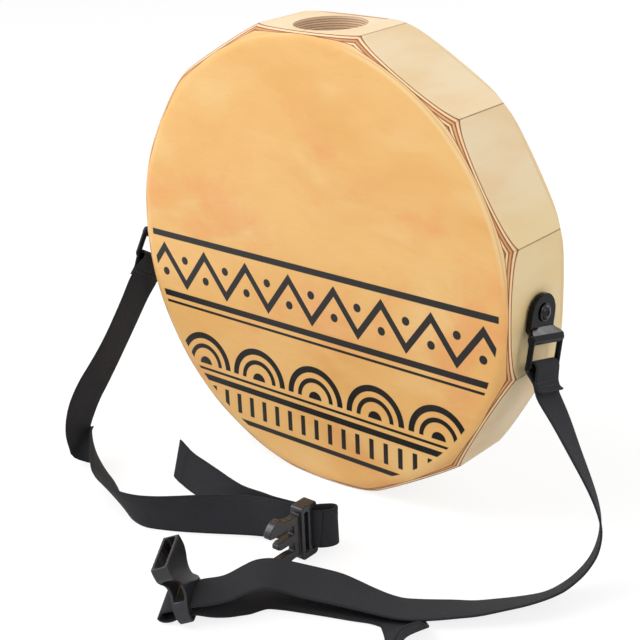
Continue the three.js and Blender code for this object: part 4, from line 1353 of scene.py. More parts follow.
@dataclass
class Studio:
    """The camera at the photograph's angle, soft lamps, a pale floor and a white world."""

    aim: Vector = field(default_factory=lambda: Vector((0.0, 0.0, APOTHEM)))
    camera_place: Vector = field(default_factory=lambda: Vector((0.66705, -0.7905, 0.54817)))
    azimuth: float = 41.057
    elevation: float = 22.329
    roll: float = -2.3575
    lens: float = 82.1
    sensor: float = 36.0
    near: float = 0.01
    world_light: float = 0.52
    gloss_share: float = 0.55
    floor_size: float = 6.0
    floor_drop: float = 0.0003
    floor_grey: float = 0.8
    floor_glow: float = 1.15
    floor_seen: float = 0.72
    # Each lamp's name, place, side in metres and power in watts
    lamps: tuple[tuple[str, Triple, float, float], ...] = (
        ("key", (-1.45, -0.9, 1.25), 1.1, 16.5),
        ("fill", (2.0, -0.25, 1.3), 0.8, 9.0),
        ("top", (-0.5, -1.0, 1.9), 1.1, 15.0),
        ("rim", (0.5, 2.4, 1.3), 0.8, 9.0),
    )

    def camera(self) -> None:
        """Sets the scene's camera up."""
        azimuth, elevation = math.radians(self.azimuth), math.radians(self.elevation)
        level = math.cos(elevation)
        back = Vector((math.sin(azimuth) * level, -math.cos(azimuth) * level, math.sin(elevation)))
        right = Vector((math.cos(azimuth), math.sin(azimuth), 0.0))
        up = back.cross(right)
        turn = Matrix.Rotation(math.radians(self.roll), 3, "Z")
        pose = (Matrix((right, up, back)).transposed() @ turn).to_4x4()
        pose.translation = self.camera_place
        data = bpy.data.cameras.new("camera")
        data.lens = self.lens
        data.sensor_width = self.sensor
        data.clip_start = self.near
        camera = placed("camera", data)
        camera.matrix_world = pose
        bpy.context.scene.camera = camera

    def lamp(self, name: str, place: Triple, size: float, watts: float) -> None:
        """Adds one square soft lamp that faces the drum.

        Args:
            name: The lamp's name.
            place: Where it stands.
            size: The length of its side, in metres.
            watts: Its power.
        """
        data = bpy.data.lights.new(name, "AREA")
        data.shape = "SQUARE"
        data.size = size
        data.energy = watts
        lamp = placed(name, data)
        lamp.location = place
        lamp.rotation_euler = (self.aim - Vector(place)).to_track_quat("-Z", "Y").to_euler()

    def world(self) -> None:
        """Makes the world light softly, and look white to the camera and paler in reflections."""
        world = bpy.data.worlds.new("studio")
        world.use_nodes = True
        bpy.context.scene.world = world
        graph = Graph(world.node_tree)
        rays = graph.node("ShaderNodeLightPath").outputs
        glossy = Flow(graph, rays["Is Glossy Ray"]) * self.gloss_share
        seen = Flow(graph, rays["Is Camera Ray"]).most(glossy)
        seen = seen.most(Flow(graph, rays["Is Transmission Ray"]))
        strength = self.world_light + seen * (1 - self.world_light)
        light = graph.flow("ShaderNodeBackground", None, {"Color": (1.0, 1.0, 1.0), "Strength": strength})
        graph.node("ShaderNodeOutputWorld", None, {"Surface": light})

    def floor(self) -> None:
        """Lays the floor, which looks nearly white and keeps the object's shadow."""
        half, drop = self.floor_size / 2, -self.floor_drop
        corners = [(-half, -half, drop), (half, -half, drop), (half, half, drop), (-half, half, drop)]
        floor = mesh_piece("floor", corners, [[0, 1, 2, 3]], False)
        material = bpy.data.materials.new("pale_floor")
        material.use_nodes = True
        graph = Graph(material.node_tree)
        seen = Flow(graph, graph.node("ShaderNodeLightPath").outputs["Is Camera Ray"])
        matte = graph.flow("ShaderNodeBsdfDiffuse", None, {"Color": (self.floor_grey,) * 3})
        white: Sockets = {"Color": (1.0, 1.0, 1.0), "Strength": self.floor_glow}
        glow = graph.flow("ShaderNodeEmission", None, white)
        shader = graph.flow("ShaderNodeMixShader", None, {0: seen * self.floor_seen, 1: matte, 2: glow})
        graph.node("ShaderNodeOutputMaterial", None, {"Surface": shader})
        floor.data.materials.append(material)

    def build(self) -> None:
        """Sets up everything that isn't part of the object."""
        bpy.context.scene.view_settings.view_transform = "Standard"
        self.camera()
        self.world()
        self.floor()
        for lamp in self.lamps:
            self.lamp(*lamp)


# The strap


class Spline:
    """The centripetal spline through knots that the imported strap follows."""

    def __init__(self, knots: np.ndarray) -> None:
        """Keeps the knots, one row each."""
        self.knots = knots

    def at(self, share: np.ndarray) -> np.ndarray:
        """Gives the points at shares of the way, where each knot takes an equal share.

        Args:
            share: Values from 0 to 1.

        Returns:
            One row for each value.
        """
        count = len(self.knots)
        place = np.clip(share, 0, 1) * (count - 1)
        first = np.minimum(place.astype(int), count - 2)
        weight = (place - first)[:, None]
        ends = np.vstack([2 * self.knots[0] - self.knots[1], self.knots, 2 * self.knots[-1] - self.knots[-2]])
        p0, p1, p2, p3 = (ends[first + step] for step in range(4))
        steps = [np.sqrt(np.linalg.norm(b - a, axis=1))[:, None] for a, b in ((p0, p1), (p1, p2), (p2, p3))]
        d1 = np.where(steps[1] < 1e-6, 1.0, steps[1])
        d0 = np.where(steps[0] < 1e-6, d1, steps[0])
        d2 = np.where(steps[2] < 1e-6, d1, steps[2])
        t1 = ((p1 - p0) / d0 - (p2 - p0) / (d0 + d1) + (p2 - p1) / d1) * d1
        t2 = ((p2 - p1) / d1 - (p3 - p1) / (d1 + d2) + (p3 - p2) / d2) * d1
        square, cube = weight**2, weight**3
        return (
            p1 * (2 * cube - 3 * square + 1) + p2 * (3 * square - 2 * cube)
            + t1 * (cube - 2 * square + weight) + t2 * (cube - square)
        )


@dataclass
class WebbingBand:
    """A flat woven band that follows a line, with its width along given directions."""

    width: float = 0.030
    thickness: float = 0.0015
    columns: int = 14
    edge_steps: int = 3
    hem: float = 0.0
    hem_share: float = 0.75
    nip_share: float = 0.5
    nip_reach: float = 0.0007
    slant: float = 0.0
    slant_reach: float = 0.022

    def section(self) -> list[Pair]:
        """Draws the band's outline with rounded firm edges.

        Returns:
            Its (across, outwards) points.
        """
        half, rise = self.width / 2, self.thickness / 2
        flat = half - rise
        top = [(-flat + 2 * flat * step / self.columns, rise) for step in range(self.columns + 1)]
        for step in range(1, self.edge_steps + 1):
            angle = math.pi / 2 - math.pi * step / (self.edge_steps + 1)
            top.append((flat + rise * math.cos(angle), rise * math.sin(angle)))
        return top + [(-across, -out) for across, out in top]

    def build(self, name: str, line: np.ndarray, across: np.ndarray) -> bpy.types.Object:
        """Sweeps the outline along a line.

        Args:
            name: The piece's name.
            line: The points that the middle follows, in metres.
            across: The direction of the width at each point.

        Returns:
            The band, whose "weave" attribute gives the metres across and along it.
        """
        along = np.gradient(line, axis=0)
        along /= np.linalg.norm(along, axis=1)[:, None]
        across = across - along * np.sum(across * along, axis=1)[:, None]
        across /= np.linalg.norm(across, axis=1)[:, None]
        out = np.cross(along, across)
        run = lengths_along(line)
        section = self.section()
        count = len(section)
        points, weave = [], []
        for ring, middle in enumerate(line):
            from_end = run[-1] - run[ring]
            thick = 1.0
            if self.hem:
                thick += self.hem_share * (from_end < self.hem)
                thick *= 1.0 - self.nip_share * math.exp(-from_end / self.nip_reach)
            skew = self.slant * max(0.0, 1 - from_end / self.slant_reach)
            for a, b in section:
                shift = along[ring] * (-skew * a / (self.width / 2))
                points.append(middle + shift + across[ring] * a + out[ring] * b * thick)
                weave.append((a, run[ring], 0.0))
        faces = grid_faces(len(line), count)
        faces.append(list(range(count)))
        faces.append(list(range(len(points) - count, len(points)))[::-1])
        piece = mesh_piece(name, points, faces)
        store(piece, "weave", np.array(weave))
        with editing(piece.data) as mesh:
            bmesh.ops.recalc_face_normals(mesh, faces=mesh.faces)
        return dress(piece, WEBBING)


@dataclass
class StitchRows:
    """Rows of thread stitches sewn into webbing."""

    stitch_length: float = 0.0024
    thread_radius: float = 0.00032
    gap_share: float = 0.45

    def recipe(self) -> Recipe:
        """Builds the tree that lays one stitch at each step along the rows.

        Returns:
            The recipe, whose input is the rows as lines of edges.
        """
        recipe = Recipe("stitch_row", {"Pitch": 0.003, "Stitch length": 0.0024, "Thread radius": 0.0003})
        curve = recipe.flow("GeometryNodeMeshToCurve", None, {0: recipe.given("Geometry")})
        spots = recipe.node(
            "GeometryNodeCurveToPoints", {"mode": "LENGTH"}, {"Curve": curve, "Length": recipe.given("Pitch")}
        ).outputs
        radius = recipe.given("Thread radius")
        sockets: Sockets = {
            "Points": Flow(recipe, spots["Points"]),
            "Instance": recipe.flow("GeometryNodeMeshIcoSphere", None, {"Radius": 1.0, "Subdivisions": 2}),
            "Rotation": Flow(recipe, spots["Rotation"]),
            "Scale": recipe.join(radius, radius, recipe.given("Stitch length") / 2),
        }
        recipe.close(recipe.flow("GeometryNodeInstanceOnPoints", None, sockets))
        return recipe

    def build(self, name: str, rows: list[list[Vector]]) -> bpy.types.Object:
        """Sews the rows.

        Args:
            name: The piece's name.
            rows: The points that each row runs through, on the webbing's surface.

        Returns:
            All the stitches as one piece.
        """
        pitch = self.stitch_length * (1 + self.gap_share)
        sizes = {"pitch": pitch, "stitch_length": self.stitch_length, "thread_radius": self.thread_radius}
        piece = self.recipe().run(line_piece(name, rows), THREAD, **sizes)
        smooth_faces(piece)
        return piece


@dataclass
class BracketFrame:
    """Where one side's strap bracket hangs: X out of the drum, Y across it and Z up, from its screw."""

    side: Side
    tilt: float
    apothem: float = APOTHEM
    pivot_height: float = 0.171

    def matrix(self) -> Matrix:
        """Gives the bracket's place in the drum's frame.

        Returns:
            The place as a matrix.
        """
        turn = Matrix.Rotation(math.radians(self.tilt), 4, "X")
        facing = Matrix.Rotation(0.0 if self.side is Side.RIGHT else math.pi, 4, "Z")
        return Matrix.Translation((self.side.sign * self.apothem, 0.0, self.pivot_height)) @ turn @ facing

    def point(self, out: float, across: float, up: float) -> np.ndarray:
        """Gives a point of the bracket's own frame in the drum's frame."""
        return np.array(self.matrix() @ Vector((out, across, up)))

    def width(self) -> np.ndarray:
        """Gives the direction across the bracket, the way the strap's route counts it."""
        across = np.array(self.matrix().to_3x3() @ Vector((0.0, 1.0, 0.0)))
        return across if across[1] < 0 else -across


@dataclass
class Strap:
    """One side's webbing: the sewn loop in its bracket, the run to the buckle, and the loose tail."""

    frame: BracketFrame
    run_route: Route
    tail_route: Route
    lean: float
    tail_hem: float = 0.012
    tip_lift: float = 0.0
    tip_slant: float = 0.0
    tip_length: float = 0.026
    loop_radius: float = 0.00435
    bar_out: float = 0.0103
    bar_drop: float = 0.0371
    layer_offset: float = 0.00085
    neck: float = 0.0108
    neck_knots: tuple[float, ...] = (0.0135, 0.0175, 0.021)
    tab_end: float = 0.0176
    tab_bend: float = 0.0138
    tab_flare: float = 0.0026
    tab_steps: int = 8
    bend_steps: int = 26
    loop_reach: float = 0.0578
    loop_length: float = 0.055
    loop_step: float = 0.0009
    run_start: float = 0.003
    step: float = 0.002
    knot_stride: int = 3
    seat_gap: float = 0.0003
    route_samples: int = 1200
    line_samples: int = 4000
    eased_at: tuple[float, ...] = (0.046, 0.060, 0.115, 0.140)
    ease_passes: int = 40
    seam: Pair = (0.0106, 0.0136)
    seam_half: float = 0.0125
    seam_lift: float = 0.00082
    blend_heights: Pair = (0.070, 0.116)

    def hung(self, along: float, offset: float, across: float = 0.0) -> np.ndarray:
        """Gives a point of the leaning loop.

        Args:
            along: How far it lies from the bracket's bar, down the loop.
            offset: How far it lies off the loop's middle plane.
            across: How far it lies off the middle of the webbing's width.

        Returns:
            The point in the drum's frame.
        """
        lean = math.radians(self.lean)
        out = math.sin(lean) * along + math.cos(lean) * offset
        up = math.sin(lean) * offset - math.cos(lean) * along
        return self.frame.point(self.bar_out + out, across, -self.bar_drop + up)

    def loop_line(self) -> np.ndarray:
        """Gives the loop's line from the hemmed tab, round the bracket's bar, and down to the run.

        Returns:
            Its points in the drum's frame.
        """
        line = []
        for along in np.linspace(self.tab_end, self.neck, self.tab_steps):
            flare = max(0.0, (along - self.tab_bend) / (self.tab_end - self.tab_bend)) ** 2
            line.append(self.hung(along, self.layer_offset + self.tab_flare * flare))
        reach = math.hypot(self.neck, self.layer_offset)
        touch = math.atan2(self.layer_offset, self.neck) + math.acos(self.loop_radius / reach)
        for angle in np.linspace(touch, 2 * math.pi - touch, self.bend_steps):
            line.append(self.hung(self.loop_radius * math.cos(angle), self.loop_radius * math.sin(angle)))
        line += [self.hung(along, -self.layer_offset) for along in (self.neck, *self.neck_knots)]
        return np.array(line)

    def parted(self) -> tuple[Ribbon, Ribbon]:
        """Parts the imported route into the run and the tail, where it turns back in the buckle.

        Returns:
            The run below the loop, then the tail.
        """
        knots = np.array(self.run_route + self.tail_route, float)
        widths = knots[:, 3:] / np.linalg.norm(knots[:, 3:], axis=1)[:, None]
        share = np.linspace(0.0, 1.0, self.route_samples + 1)
        middle, across = Spline(knots[:, :3]).at(share), Spline(widths).at(share)
        lengths = lengths_along(middle)
        turn = lengths[round((len(self.run_route) - 0.5) / (len(knots) - 1) * self.route_samples)]
        pivot = np.array((0.0, self.frame.pivot_height))
        clear = np.linalg.norm(middle[:, 1:] - pivot, axis=1) > self.loop_reach
        start = lengths[np.argmax(clear)] + self.run_start

        def stretch(low: float, high: float) -> Ribbon:
            """Samples the route evenly between two lengths."""
            at = np.linspace(low, high, max(3, round((high - low) / self.step) + 1))
            return sampled(middle, lengths, at), sampled(across, lengths, at)

        return stretch(start, turn - self.seat_gap / 4), stretch(turn + self.seat_gap / 4, lengths[-1])

    def joined(self, run: Ribbon) -> Ribbon:
        """Joins the loop and the run into one line, and eases the bend between them.

        Args:
            run: The run below the loop.

        Returns:
            The whole line from the loop's tab to the buckle.
        """
        loop, last = self.loop_line(), len(run[0]) - 1
        picked = sorted({*range(0, last, self.knot_stride), last})
        turned = np.tile(self.frame.width(), (len(loop), 1))
        shares = np.linspace(0.0, 1.0, self.line_samples)
        line = Spline(np.vstack([loop, run[0][picked]])).at(shares)
        across = Spline(np.vstack([turned, run[1][picked]])).at(shares)
        lengths = lengths_along(line)
        below = lengths[-1] - self.loop_length
        at = np.concatenate([
            np.arange(0.0, self.loop_length, self.loop_step),
            np.linspace(self.loop_length, lengths[-1], round(below / self.step)),
        ])
        line, across = sampled(line, lengths, at), sampled(across, lengths, at)
        eased = np.interp(at, self.eased_at, (0.0, 1.0, 1.0, 0.0))[1:-1, None]
        for values in (line, across):
            for _ in range(self.ease_passes):
                values[1:-1] += eased * ((values[:-2] + values[2:]) / 2 - values[1:-1]) * 0.5
        return line, across

    def stitches(self) -> bpy.types.Object:
        """Sews the loop shut with two rows across it, joined at their ends, on both faces.

        Returns:
            The stitches as one piece.
        """
        (near, far), half = self.seam, self.seam_half
        corners = ((near, -half), (near, half), (far, half), (far, -half), (near, -half))
        rows = []
        for face in (1.0, -1.0):
            offset = face * (self.layer_offset + self.seam_lift)
            rows.append([Vector(self.hung(along, offset, across)) for along, across in corners])
        return StitchRows().build(f"loop_stitches_{self.frame.side.value}", rows)

    def build(self, buckle: bpy.types.Object) -> None:
        """Args:
            buckle: Not used.
        """
        side = self.frame.side.value
        bracket_body = f"{side}_bracket"
        run_below, (tail_line, tail_across) = self.parted()
        line, across = self.joined(run_below)
        run = WebbingBand().build(f"webbing_run_{side}", line, across)
        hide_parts(f"strap_run_{side}", f"strap_loop_{side}")
        bend = self.frame.point(self.bar_out, 0.0, -self.bar_drop)
        low, high = ((bend[0], bend[1], height) for height in self.blend_heights)
        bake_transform(run)
        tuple(low)
        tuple(high)
        stitches = enlist(self.stitches(), bracket_body, "webbing")
        length = float(lengths_along(line)[-1])
        tuple(line[0])
        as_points(line)
        from_tip = np.linalg.norm(tail_line - tail_line[-1], axis=1)
        curl = (np.clip(1 - from_tip / self.tip_length, 0.0, 1.0) ** 2)[:, None]
        tail_line = tail_line + curl * (0.0, 0.0, self.tip_lift)
        band = WebbingBand(hem=self.tail_hem, slant=self.tip_slant)
        tail = band.build(f"webbing_tail_{side}", tail_line, tail_across)
        enlist(tail, DRUM_BODY, "webbing", f"strap_tail_{side}")
        tail_length = float(lengths_along(tail_line)[-1])
        tuple(tail_line[0])
        LOG.info("strap %s: run %.3f m, tail %.3f m", side, length, tail_length)


# The drum's shell


@dataclass
class DrumShell:
    """Twelve mitred plywood staves between two plates, all rounded over like one turned body."""

    sides: int = 12
    apothem: float = APOTHEM
    half_depth: float = 0.034
    wall: float = 0.012
    front_plate: float = 0.0012
    back_plate: float = 0.004
    plate_gap: float = 0.00012
    mitre_gap: float = 0.00007
    mitre_chamfer: float = 0.00016
    margin: float = 0.00033
    front_inset: float = 0.0145
    front_depth: float = 0.014
    back_inset: float = 0.009
    back_depth: float = 0.011
    hole_radius: float = 0.0265
    hole_chamfer: float = 0.0005
    hole_steps: int = 128
    pivot_drop: float = 0.004
    pivot_hole_radius: float = 0.0043
    pivot_hole_chamfer: float = 0.0001
    cutter_reach: float = 0.004
    skin_columns: int = 75
    front_rows: int = 34
    back_rows: int = 18
    middle_rows: int = 8
    middle: Pair = (-0.018, 0.021)
    row_bias: float = 1.2
    disc_shares: tuple[float, ...] = (0.4, 0.8, 0.97, 1.0)
    rim_steps: int = 22
    rim_bias: float = 1.6
    rim_undercut: float = 0.0002
    rim_crease: float = 35.0
    plate_steps: int = 360
    back_rim_steps: int = 16
    back_steps_per_side: int = 48
    back_grain_share: float = 0.25

    @property
    def half_angle(self) -> float:
        """Half the angle that one stave takes."""
        return math.pi / self.sides

    @property
    def rim_radius(self) -> float:
        """The radius of the turned body that the drum is rounded to."""
        return self.apothem / math.cos(self.half_angle) + self.margin

    def recipe(self) -> Recipe:
        """Builds the tree that rounds a blank to the turned body, marks its plies and stands it in the ring.

        Returns:
            The recipe, whose input is a blank with its outer face up.
        """
        names = {
            "Apothem": self.apothem, "Rim radius": self.rim_radius, "Half depth": self.half_depth,
            "Front inset": self.front_inset, "Front depth": self.front_depth,
            "Back inset": self.back_inset, "Back depth": self.back_depth, "Turn": 0.0,
        }
        recipe = Recipe("turned_drum_edge", names)
        given = recipe.given
        x, y, z = recipe.split(recipe.flow("GeometryNodeInputPosition"))

        def limit(distance: Flow, inset: Flow, depth: Flow) -> Flow:
            """Gives the rounded body's radius at a distance from one face."""
            share = 1 - (distance / depth).most(0.0).least(1.0)
            return given("Rim radius") - inset + inset * (1 - share * share).root()

        edge = limit(y + given("Half depth"), given("Front inset"), given("Front depth")).least(
            limit(given("Half depth") - y, given("Back inset"), given("Back depth"))
        )
        radius = (x * x + z * z).root()
        shrink = (edge / radius).least(1.0)
        x, z = x * shrink, z * shrink
        lay = recipe.join(x, y, given("Apothem") - z)
        cosine, sine = recipe.math("COSINE", given("Turn")), recipe.math("SINE", given("Turn"))
        stood = recipe.join(x * cosine + z * sine, y, z * cosine - x * sine + given("Apothem"))
        marked = recipe.flow(
            "GeometryNodeStoreNamedAttribute",
            {"data_type": "FLOAT_VECTOR", "domain": "POINT"},
            {"Geometry": given("Geometry"), "Name": "lay", "Value": lay},
        )
        recipe.close(recipe.flow("GeometryNodeSetPosition", None, {"Geometry": marked, "Position": stood}))
        return recipe

    def blank(self, name: str) -> bpy.types.Object:
        """Makes a stave with straight edges: a fine outer skin, mitred sides and plain inner faces.

        Args:
            name: The piece's name.

        Returns:
            The blank, in the top stave's place round the drum's axis.
        """
        slope = math.tan(self.half_angle)
        gap = self.mitre_gap / math.cos(self.half_angle)
        half = self.apothem * slope - gap
        inner_half = (self.apothem - self.wall) * slope - gap
        front = -self.half_depth + self.front_plate + self.plate_gap
        back = self.half_depth - self.back_plate - self.plate_gap
        skin_half, edge_half = half - self.mitre_chamfer, half - self.mitre_chamfer * slope
        columns = [(s, 0.0) for s in np.linspace(-skin_half, skin_half, self.skin_columns)]
        columns = [(-edge_half, -self.mitre_chamfer), *columns, (edge_half, -self.mitre_chamfer)]
        front_bend, back_bend = self.front_depth - self.front_plate, self.back_depth - self.back_plate
        rows = np.concatenate([
            front + front_bend * np.linspace(0.0, 1.0, self.front_rows) ** self.row_bias,
            np.linspace(*self.middle, self.middle_rows),
            back - back_bend * np.linspace(1.0, 0.0, self.back_rows) ** self.row_bias,
        ])
        rows = np.unique(np.round(rows, 7))
        count, height = len(columns), len(rows)
        points = [(s, y, self.apothem + lift) for y in rows for s, lift in columns]
        faces = grid_faces(height, count, False)
        inner, last = len(points), (height - 1) * count
        for s, y in ((-1, rows[0]), (1, rows[0]), (1, rows[-1]), (-1, rows[-1])):
            points.append((s * inner_half, y, self.apothem - self.wall))
        faces.append([inner, inner + 3, inner + 2, inner + 1])
        faces.append(list(range(count))[::-1] + [inner, inner + 1])
        faces.append(list(range(last, last + count)) + [inner + 2, inner + 3])
        faces.append([row * count for row in range(height)] + [inner + 3, inner])
        faces.append([row * count + count - 1 for row in range(height)][::-1] + [inner + 1, inner + 2])
        piece = mesh_piece(name, points, faces, False)
        outward(piece)
        return piece

    def cutter(self, radius: float, offset: float, chamfer: float) -> bpy.types.Object:
        """Makes a round cutter through the top stave's wall that widens a little at both faces.

        Args:
            radius: The hole's radius.
            offset: How far the hole lies from the stave's middle, along X.
            chamfer: How deep the widening begins.

        Returns:
            The cutter.
        """
        low, high, reach = self.apothem - self.wall, self.apothem, self.cutter_reach
        wide = radius + chamfer + reach
        profile = [
            (0.0, low - reach), (wide, low - reach), (radius, low + chamfer),
            (radius, high - chamfer), (wide, high + reach), (0.0, high + reach),
        ]
        tool = turned_piece("cutter", profile, self.hole_steps)
        tool.data.transform(Matrix.Translation((offset, 0.0, 0.0)))
        return tool

    def build_staves(self) -> None:
        """Makes the ring of staves: the top one has the sound hole, the side ones the screws' holes."""
        recipe = self.recipe()
        pivot = (self.pivot_hole_radius, self.pivot_drop, self.pivot_hole_chamfer)
        holes = {
            0: (self.hole_radius, 0.0, self.hole_chamfer),
            self.sides // 4: pivot,
            3 * self.sides // 4: (pivot[0], -pivot[1], pivot[2]),
        }
        for index in range(self.sides):
            number = f"{index + 1:02d}"
            stave = self.blank(f"birch_stave_{number}")
            if index in holes:
                drilled(stave, self.cutter(*holes[index]))
            recipe.run(stave, BIRCH, turn=2 * math.pi * index / self.sides)
            shade(stave)
            enlist(stave, DRUM_BODY, "pale_birch", f"stave_{number}")

    def build_front(self) -> None:
        """Makes the playing plate, whose sanded rim ends where the staves begin."""
        flat = self.rim_radius - self.front_inset
        profile = [(0.0, 0.0)] + [(flat * share, 0.0) for share in self.disc_shares]
        for depth in np.linspace(0.0, 1.0, self.rim_steps)[1:] ** self.rim_bias * self.front_plate:
            share = 1 - depth / self.front_depth
            profile.append((flat + self.front_inset * math.sqrt(1 - share * share), -depth))
        profile += [(profile[-1][0] - self.rim_undercut, -self.front_plate), (0.0, -self.front_plate)]
        plate = turned_piece("honey_plate", profile, self.plate_steps)
        x, y, z = points_of(plate).T
        store(plate, "lay", np.stack([x, y, -z], axis=1))
        move_points(plate, np.stack([x, -self.half_depth - z, y + self.apothem], axis=1))
        shade(plate, self.rim_crease)
        outward(plate)
        enlist(dress(plate, HONEY), DRUM_BODY, "honey_birch", "front_plate")

    def build_back(self) -> None:
        """Makes the closed back plate, with the ring's outline, rounded over at its rim."""
        columns = self.sides * self.back_steps_per_side
        points: list[Triple] = []
        for share in np.linspace(0.0, 1.0, self.back_rim_steps):
            y = self.half_depth - self.back_plate + self.back_plate * share
            for step in range(columns):
                angle = 2 * math.pi * (step + 0.5) / columns
                within = (angle + self.half_angle) % (2 * self.half_angle) - self.half_angle
                radius = min(self.apothem / math.cos(within), self.limit(self.half_depth - y))
                points.append((radius * math.cos(angle), y, radius * math.sin(angle)))
        faces = grid_faces(self.back_rim_steps, columns)
        faces.append(list(range(columns))[::-1])
        faces.append(list(range(len(points) - columns, len(points))))
        plate = mesh_piece("birch_back_plate", points, faces, False)
        outward(plate)
        x, y, z = points_of(plate).T
        store(plate, "lay", np.stack([z * self.back_grain_share, x, self.half_depth - y], axis=1))
        move_points(plate, np.stack([x, y, z + self.apothem], axis=1))
        shade(plate)
        enlist(dress(plate, BIRCH), DRUM_BODY, "pale_birch", "back_plate")

    def limit(self, distance: float) -> float:
        """Gives the rounded body's radius at a distance from the back face."""
        share = 1 - min(1.0, max(0.0, distance / self.back_depth))
        return self.rim_radius - self.back_inset + self.back_inset * math.sqrt(1 - share * share)

    def build(self) -> None:
        """Makes the whole shell."""
        self.build_staves()
        self.build_front()
        self.build_back()


# Snare, inside behind the playing plate


@dataclass
class Snare:
    """Two fans of coiled wires on clip strips, screwed to a rail."""

    rail_height: float = 0.25
    strip_front: float = -0.0262
    strip: Triple = (0.046, 0.0014, 0.012)
    fan_spacing: float = 0.116
    strands: int = 10
    coil_radius: float = 0.00068
    wire_radius: float = 0.00016
    coil_pitch: float = 0.0019
    reach: float = 0.1135
    drop: float = 0.016
    lane: float = -0.0314
    spread: float = 1.35
    turn_steps: int = 8
    wire_sides: int = 4
    wire_lift: float = 0.0016
    strip_margin: float = 0.0032
    hole_offset: float = 0.015
    hole_radius: float = 0.0018
    hole_reach: float = 0.01
    hole_steps: int = 24
    strip_bevel: float = 0.0003

    def recipe(self) -> Recipe:
        """Builds the tree that winds a wire round each strand's line.

        Returns:
            The recipe, whose input is the strands as lines with a "wind" attribute.
        """
        recipe = Recipe("coiled_strand", {"Coil radius": 0.0007, "Wire radius": 0.0002})
        vectors = {"data_type": "FLOAT_VECTOR"}
        wind = recipe.flow("GeometryNodeInputNamedAttribute", vectors, {"Name": "wind"}, "Attribute")
        scale: Sockets = {0: wind, "Scale": recipe.given("Coil radius")}
        offset = recipe.flow("ShaderNodeVectorMath", {"operation": "SCALE"}, scale)
        moved: Sockets = {"Geometry": recipe.given("Geometry"), "Offset": offset}
        wound = recipe.flow("GeometryNodeSetPosition", None, moved)
        curve = recipe.flow("GeometryNodeMeshToCurve", None, {0: wound})
        round_wire: Sockets = {"Resolution": self.wire_sides, "Radius": recipe.given("Wire radius")}
        ring = recipe.flow("GeometryNodeCurvePrimitiveCircle", None, round_wire)
        swept: Sockets = {"Curve": curve, "Profile Curve": ring, "Fill Caps": True}
        recipe.close(recipe.flow("GeometryNodeCurveToMesh", None, swept))
        return recipe

    def strand(self, top_x: float, bottom_x: float) -> Ribbon:
        """Lays one strand out.

        Args:
            top_x: Where it leaves the clip strip.
            bottom_x: Where it ends.

        Returns:
            Its line, and its winding direction at each point.
        """
        top = self.rail_height - self.strip[2] / 2 + self.wire_lift
        middle = self.strip_front + self.strip[1] / 2
        share = self.drop / self.reach
        ends = np.array([
            (top_x, middle, top),
            (top_x + (bottom_x - top_x) * share, self.lane, top - self.drop),
            (bottom_x, self.lane, top - self.reach),
        ])
        lengths = lengths_along(ends)
        count = round(lengths[-1] / self.coil_pitch * self.turn_steps)
        at = np.linspace(0.0, lengths[-1], count)
        angle = at / self.coil_pitch * 2 * math.pi
        return sampled(ends, lengths, at), np.stack([np.cos(angle), np.sin(angle), np.zeros(count)], axis=1)

    def fan(self, side: Side) -> None:
        """Makes one fan: its folded strip and its coiled wires.

        Args:
            side: The side of the drum it lies on.
        """
        centre = side.sign * self.fan_spacing / 2
        pitch = (self.strip[0] - self.strip_margin) / (self.strands - 1)
        offsets = [(index - (self.strands - 1) / 2) * pitch for index in range(self.strands)]
        strands = [self.strand(centre + offset, centre + offset * self.spread) for offset in offsets]
        wires = line_piece(f"snare_wires_{side.value}", [line for line, _ in strands])
        store(wires, "wind", np.vstack([wind for _, wind in strands]))
        self.recipe().run(wires, BRIGHT_STEEL, coil_radius=self.coil_radius, wire_radius=self.wire_radius)
        strip = self.clip_strip(f"snare_strip_{side.value}", centre)
        enlist(strip, DRUM_BODY, "bright_steel", f"snare_fan_{side.value}")
        enlist(wires, DRUM_BODY, "bright_steel")

    def clip_strip(self, name: str, centre: float) -> bpy.types.Object:
        """Makes the folded steel strip that grips the wires, with its two screw holes.

        Args:
            name: The piece's name.
            centre: Where its middle lies across the drum.

        Returns:
            The strip.
        """
        spot = (centre, self.strip_front + self.strip[1] / 2, self.rail_height)
        strip = box(name, self.strip, Matrix.Translation(spot))
        for offset in (-self.hole_offset, self.hole_offset):
            place = Matrix.Translation((centre + offset, self.strip_front, self.rail_height))
            place = place @ Matrix.Rotation(math.pi / 2, 4, "X")
            reach = self.hole_reach
            drilled(strip, rod("hole", self.hole_radius, -reach, reach, self.hole_steps, place))
        bevel = strip.modifiers.new("edges", "BEVEL")
        bevel.width = self.strip_bevel
        bevel.segments = 2
        settle(strip)
        return dress(strip, BRIGHT_STEEL)

    def build(self, nodes: dict[str, bpy.types.Object]) -> None:
        """Makes both fans, and dresses the rail and its screws.

        Args:
            nodes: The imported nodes.
        """
        dress(nodes["snare_rail"], HARDWOOD)
        for number in range(1, 5):
            dress(nodes[f"snare_screw_{number}"], BLACK_STEEL)
        for side in Side:
            self.fan(side)


# Moulded parts


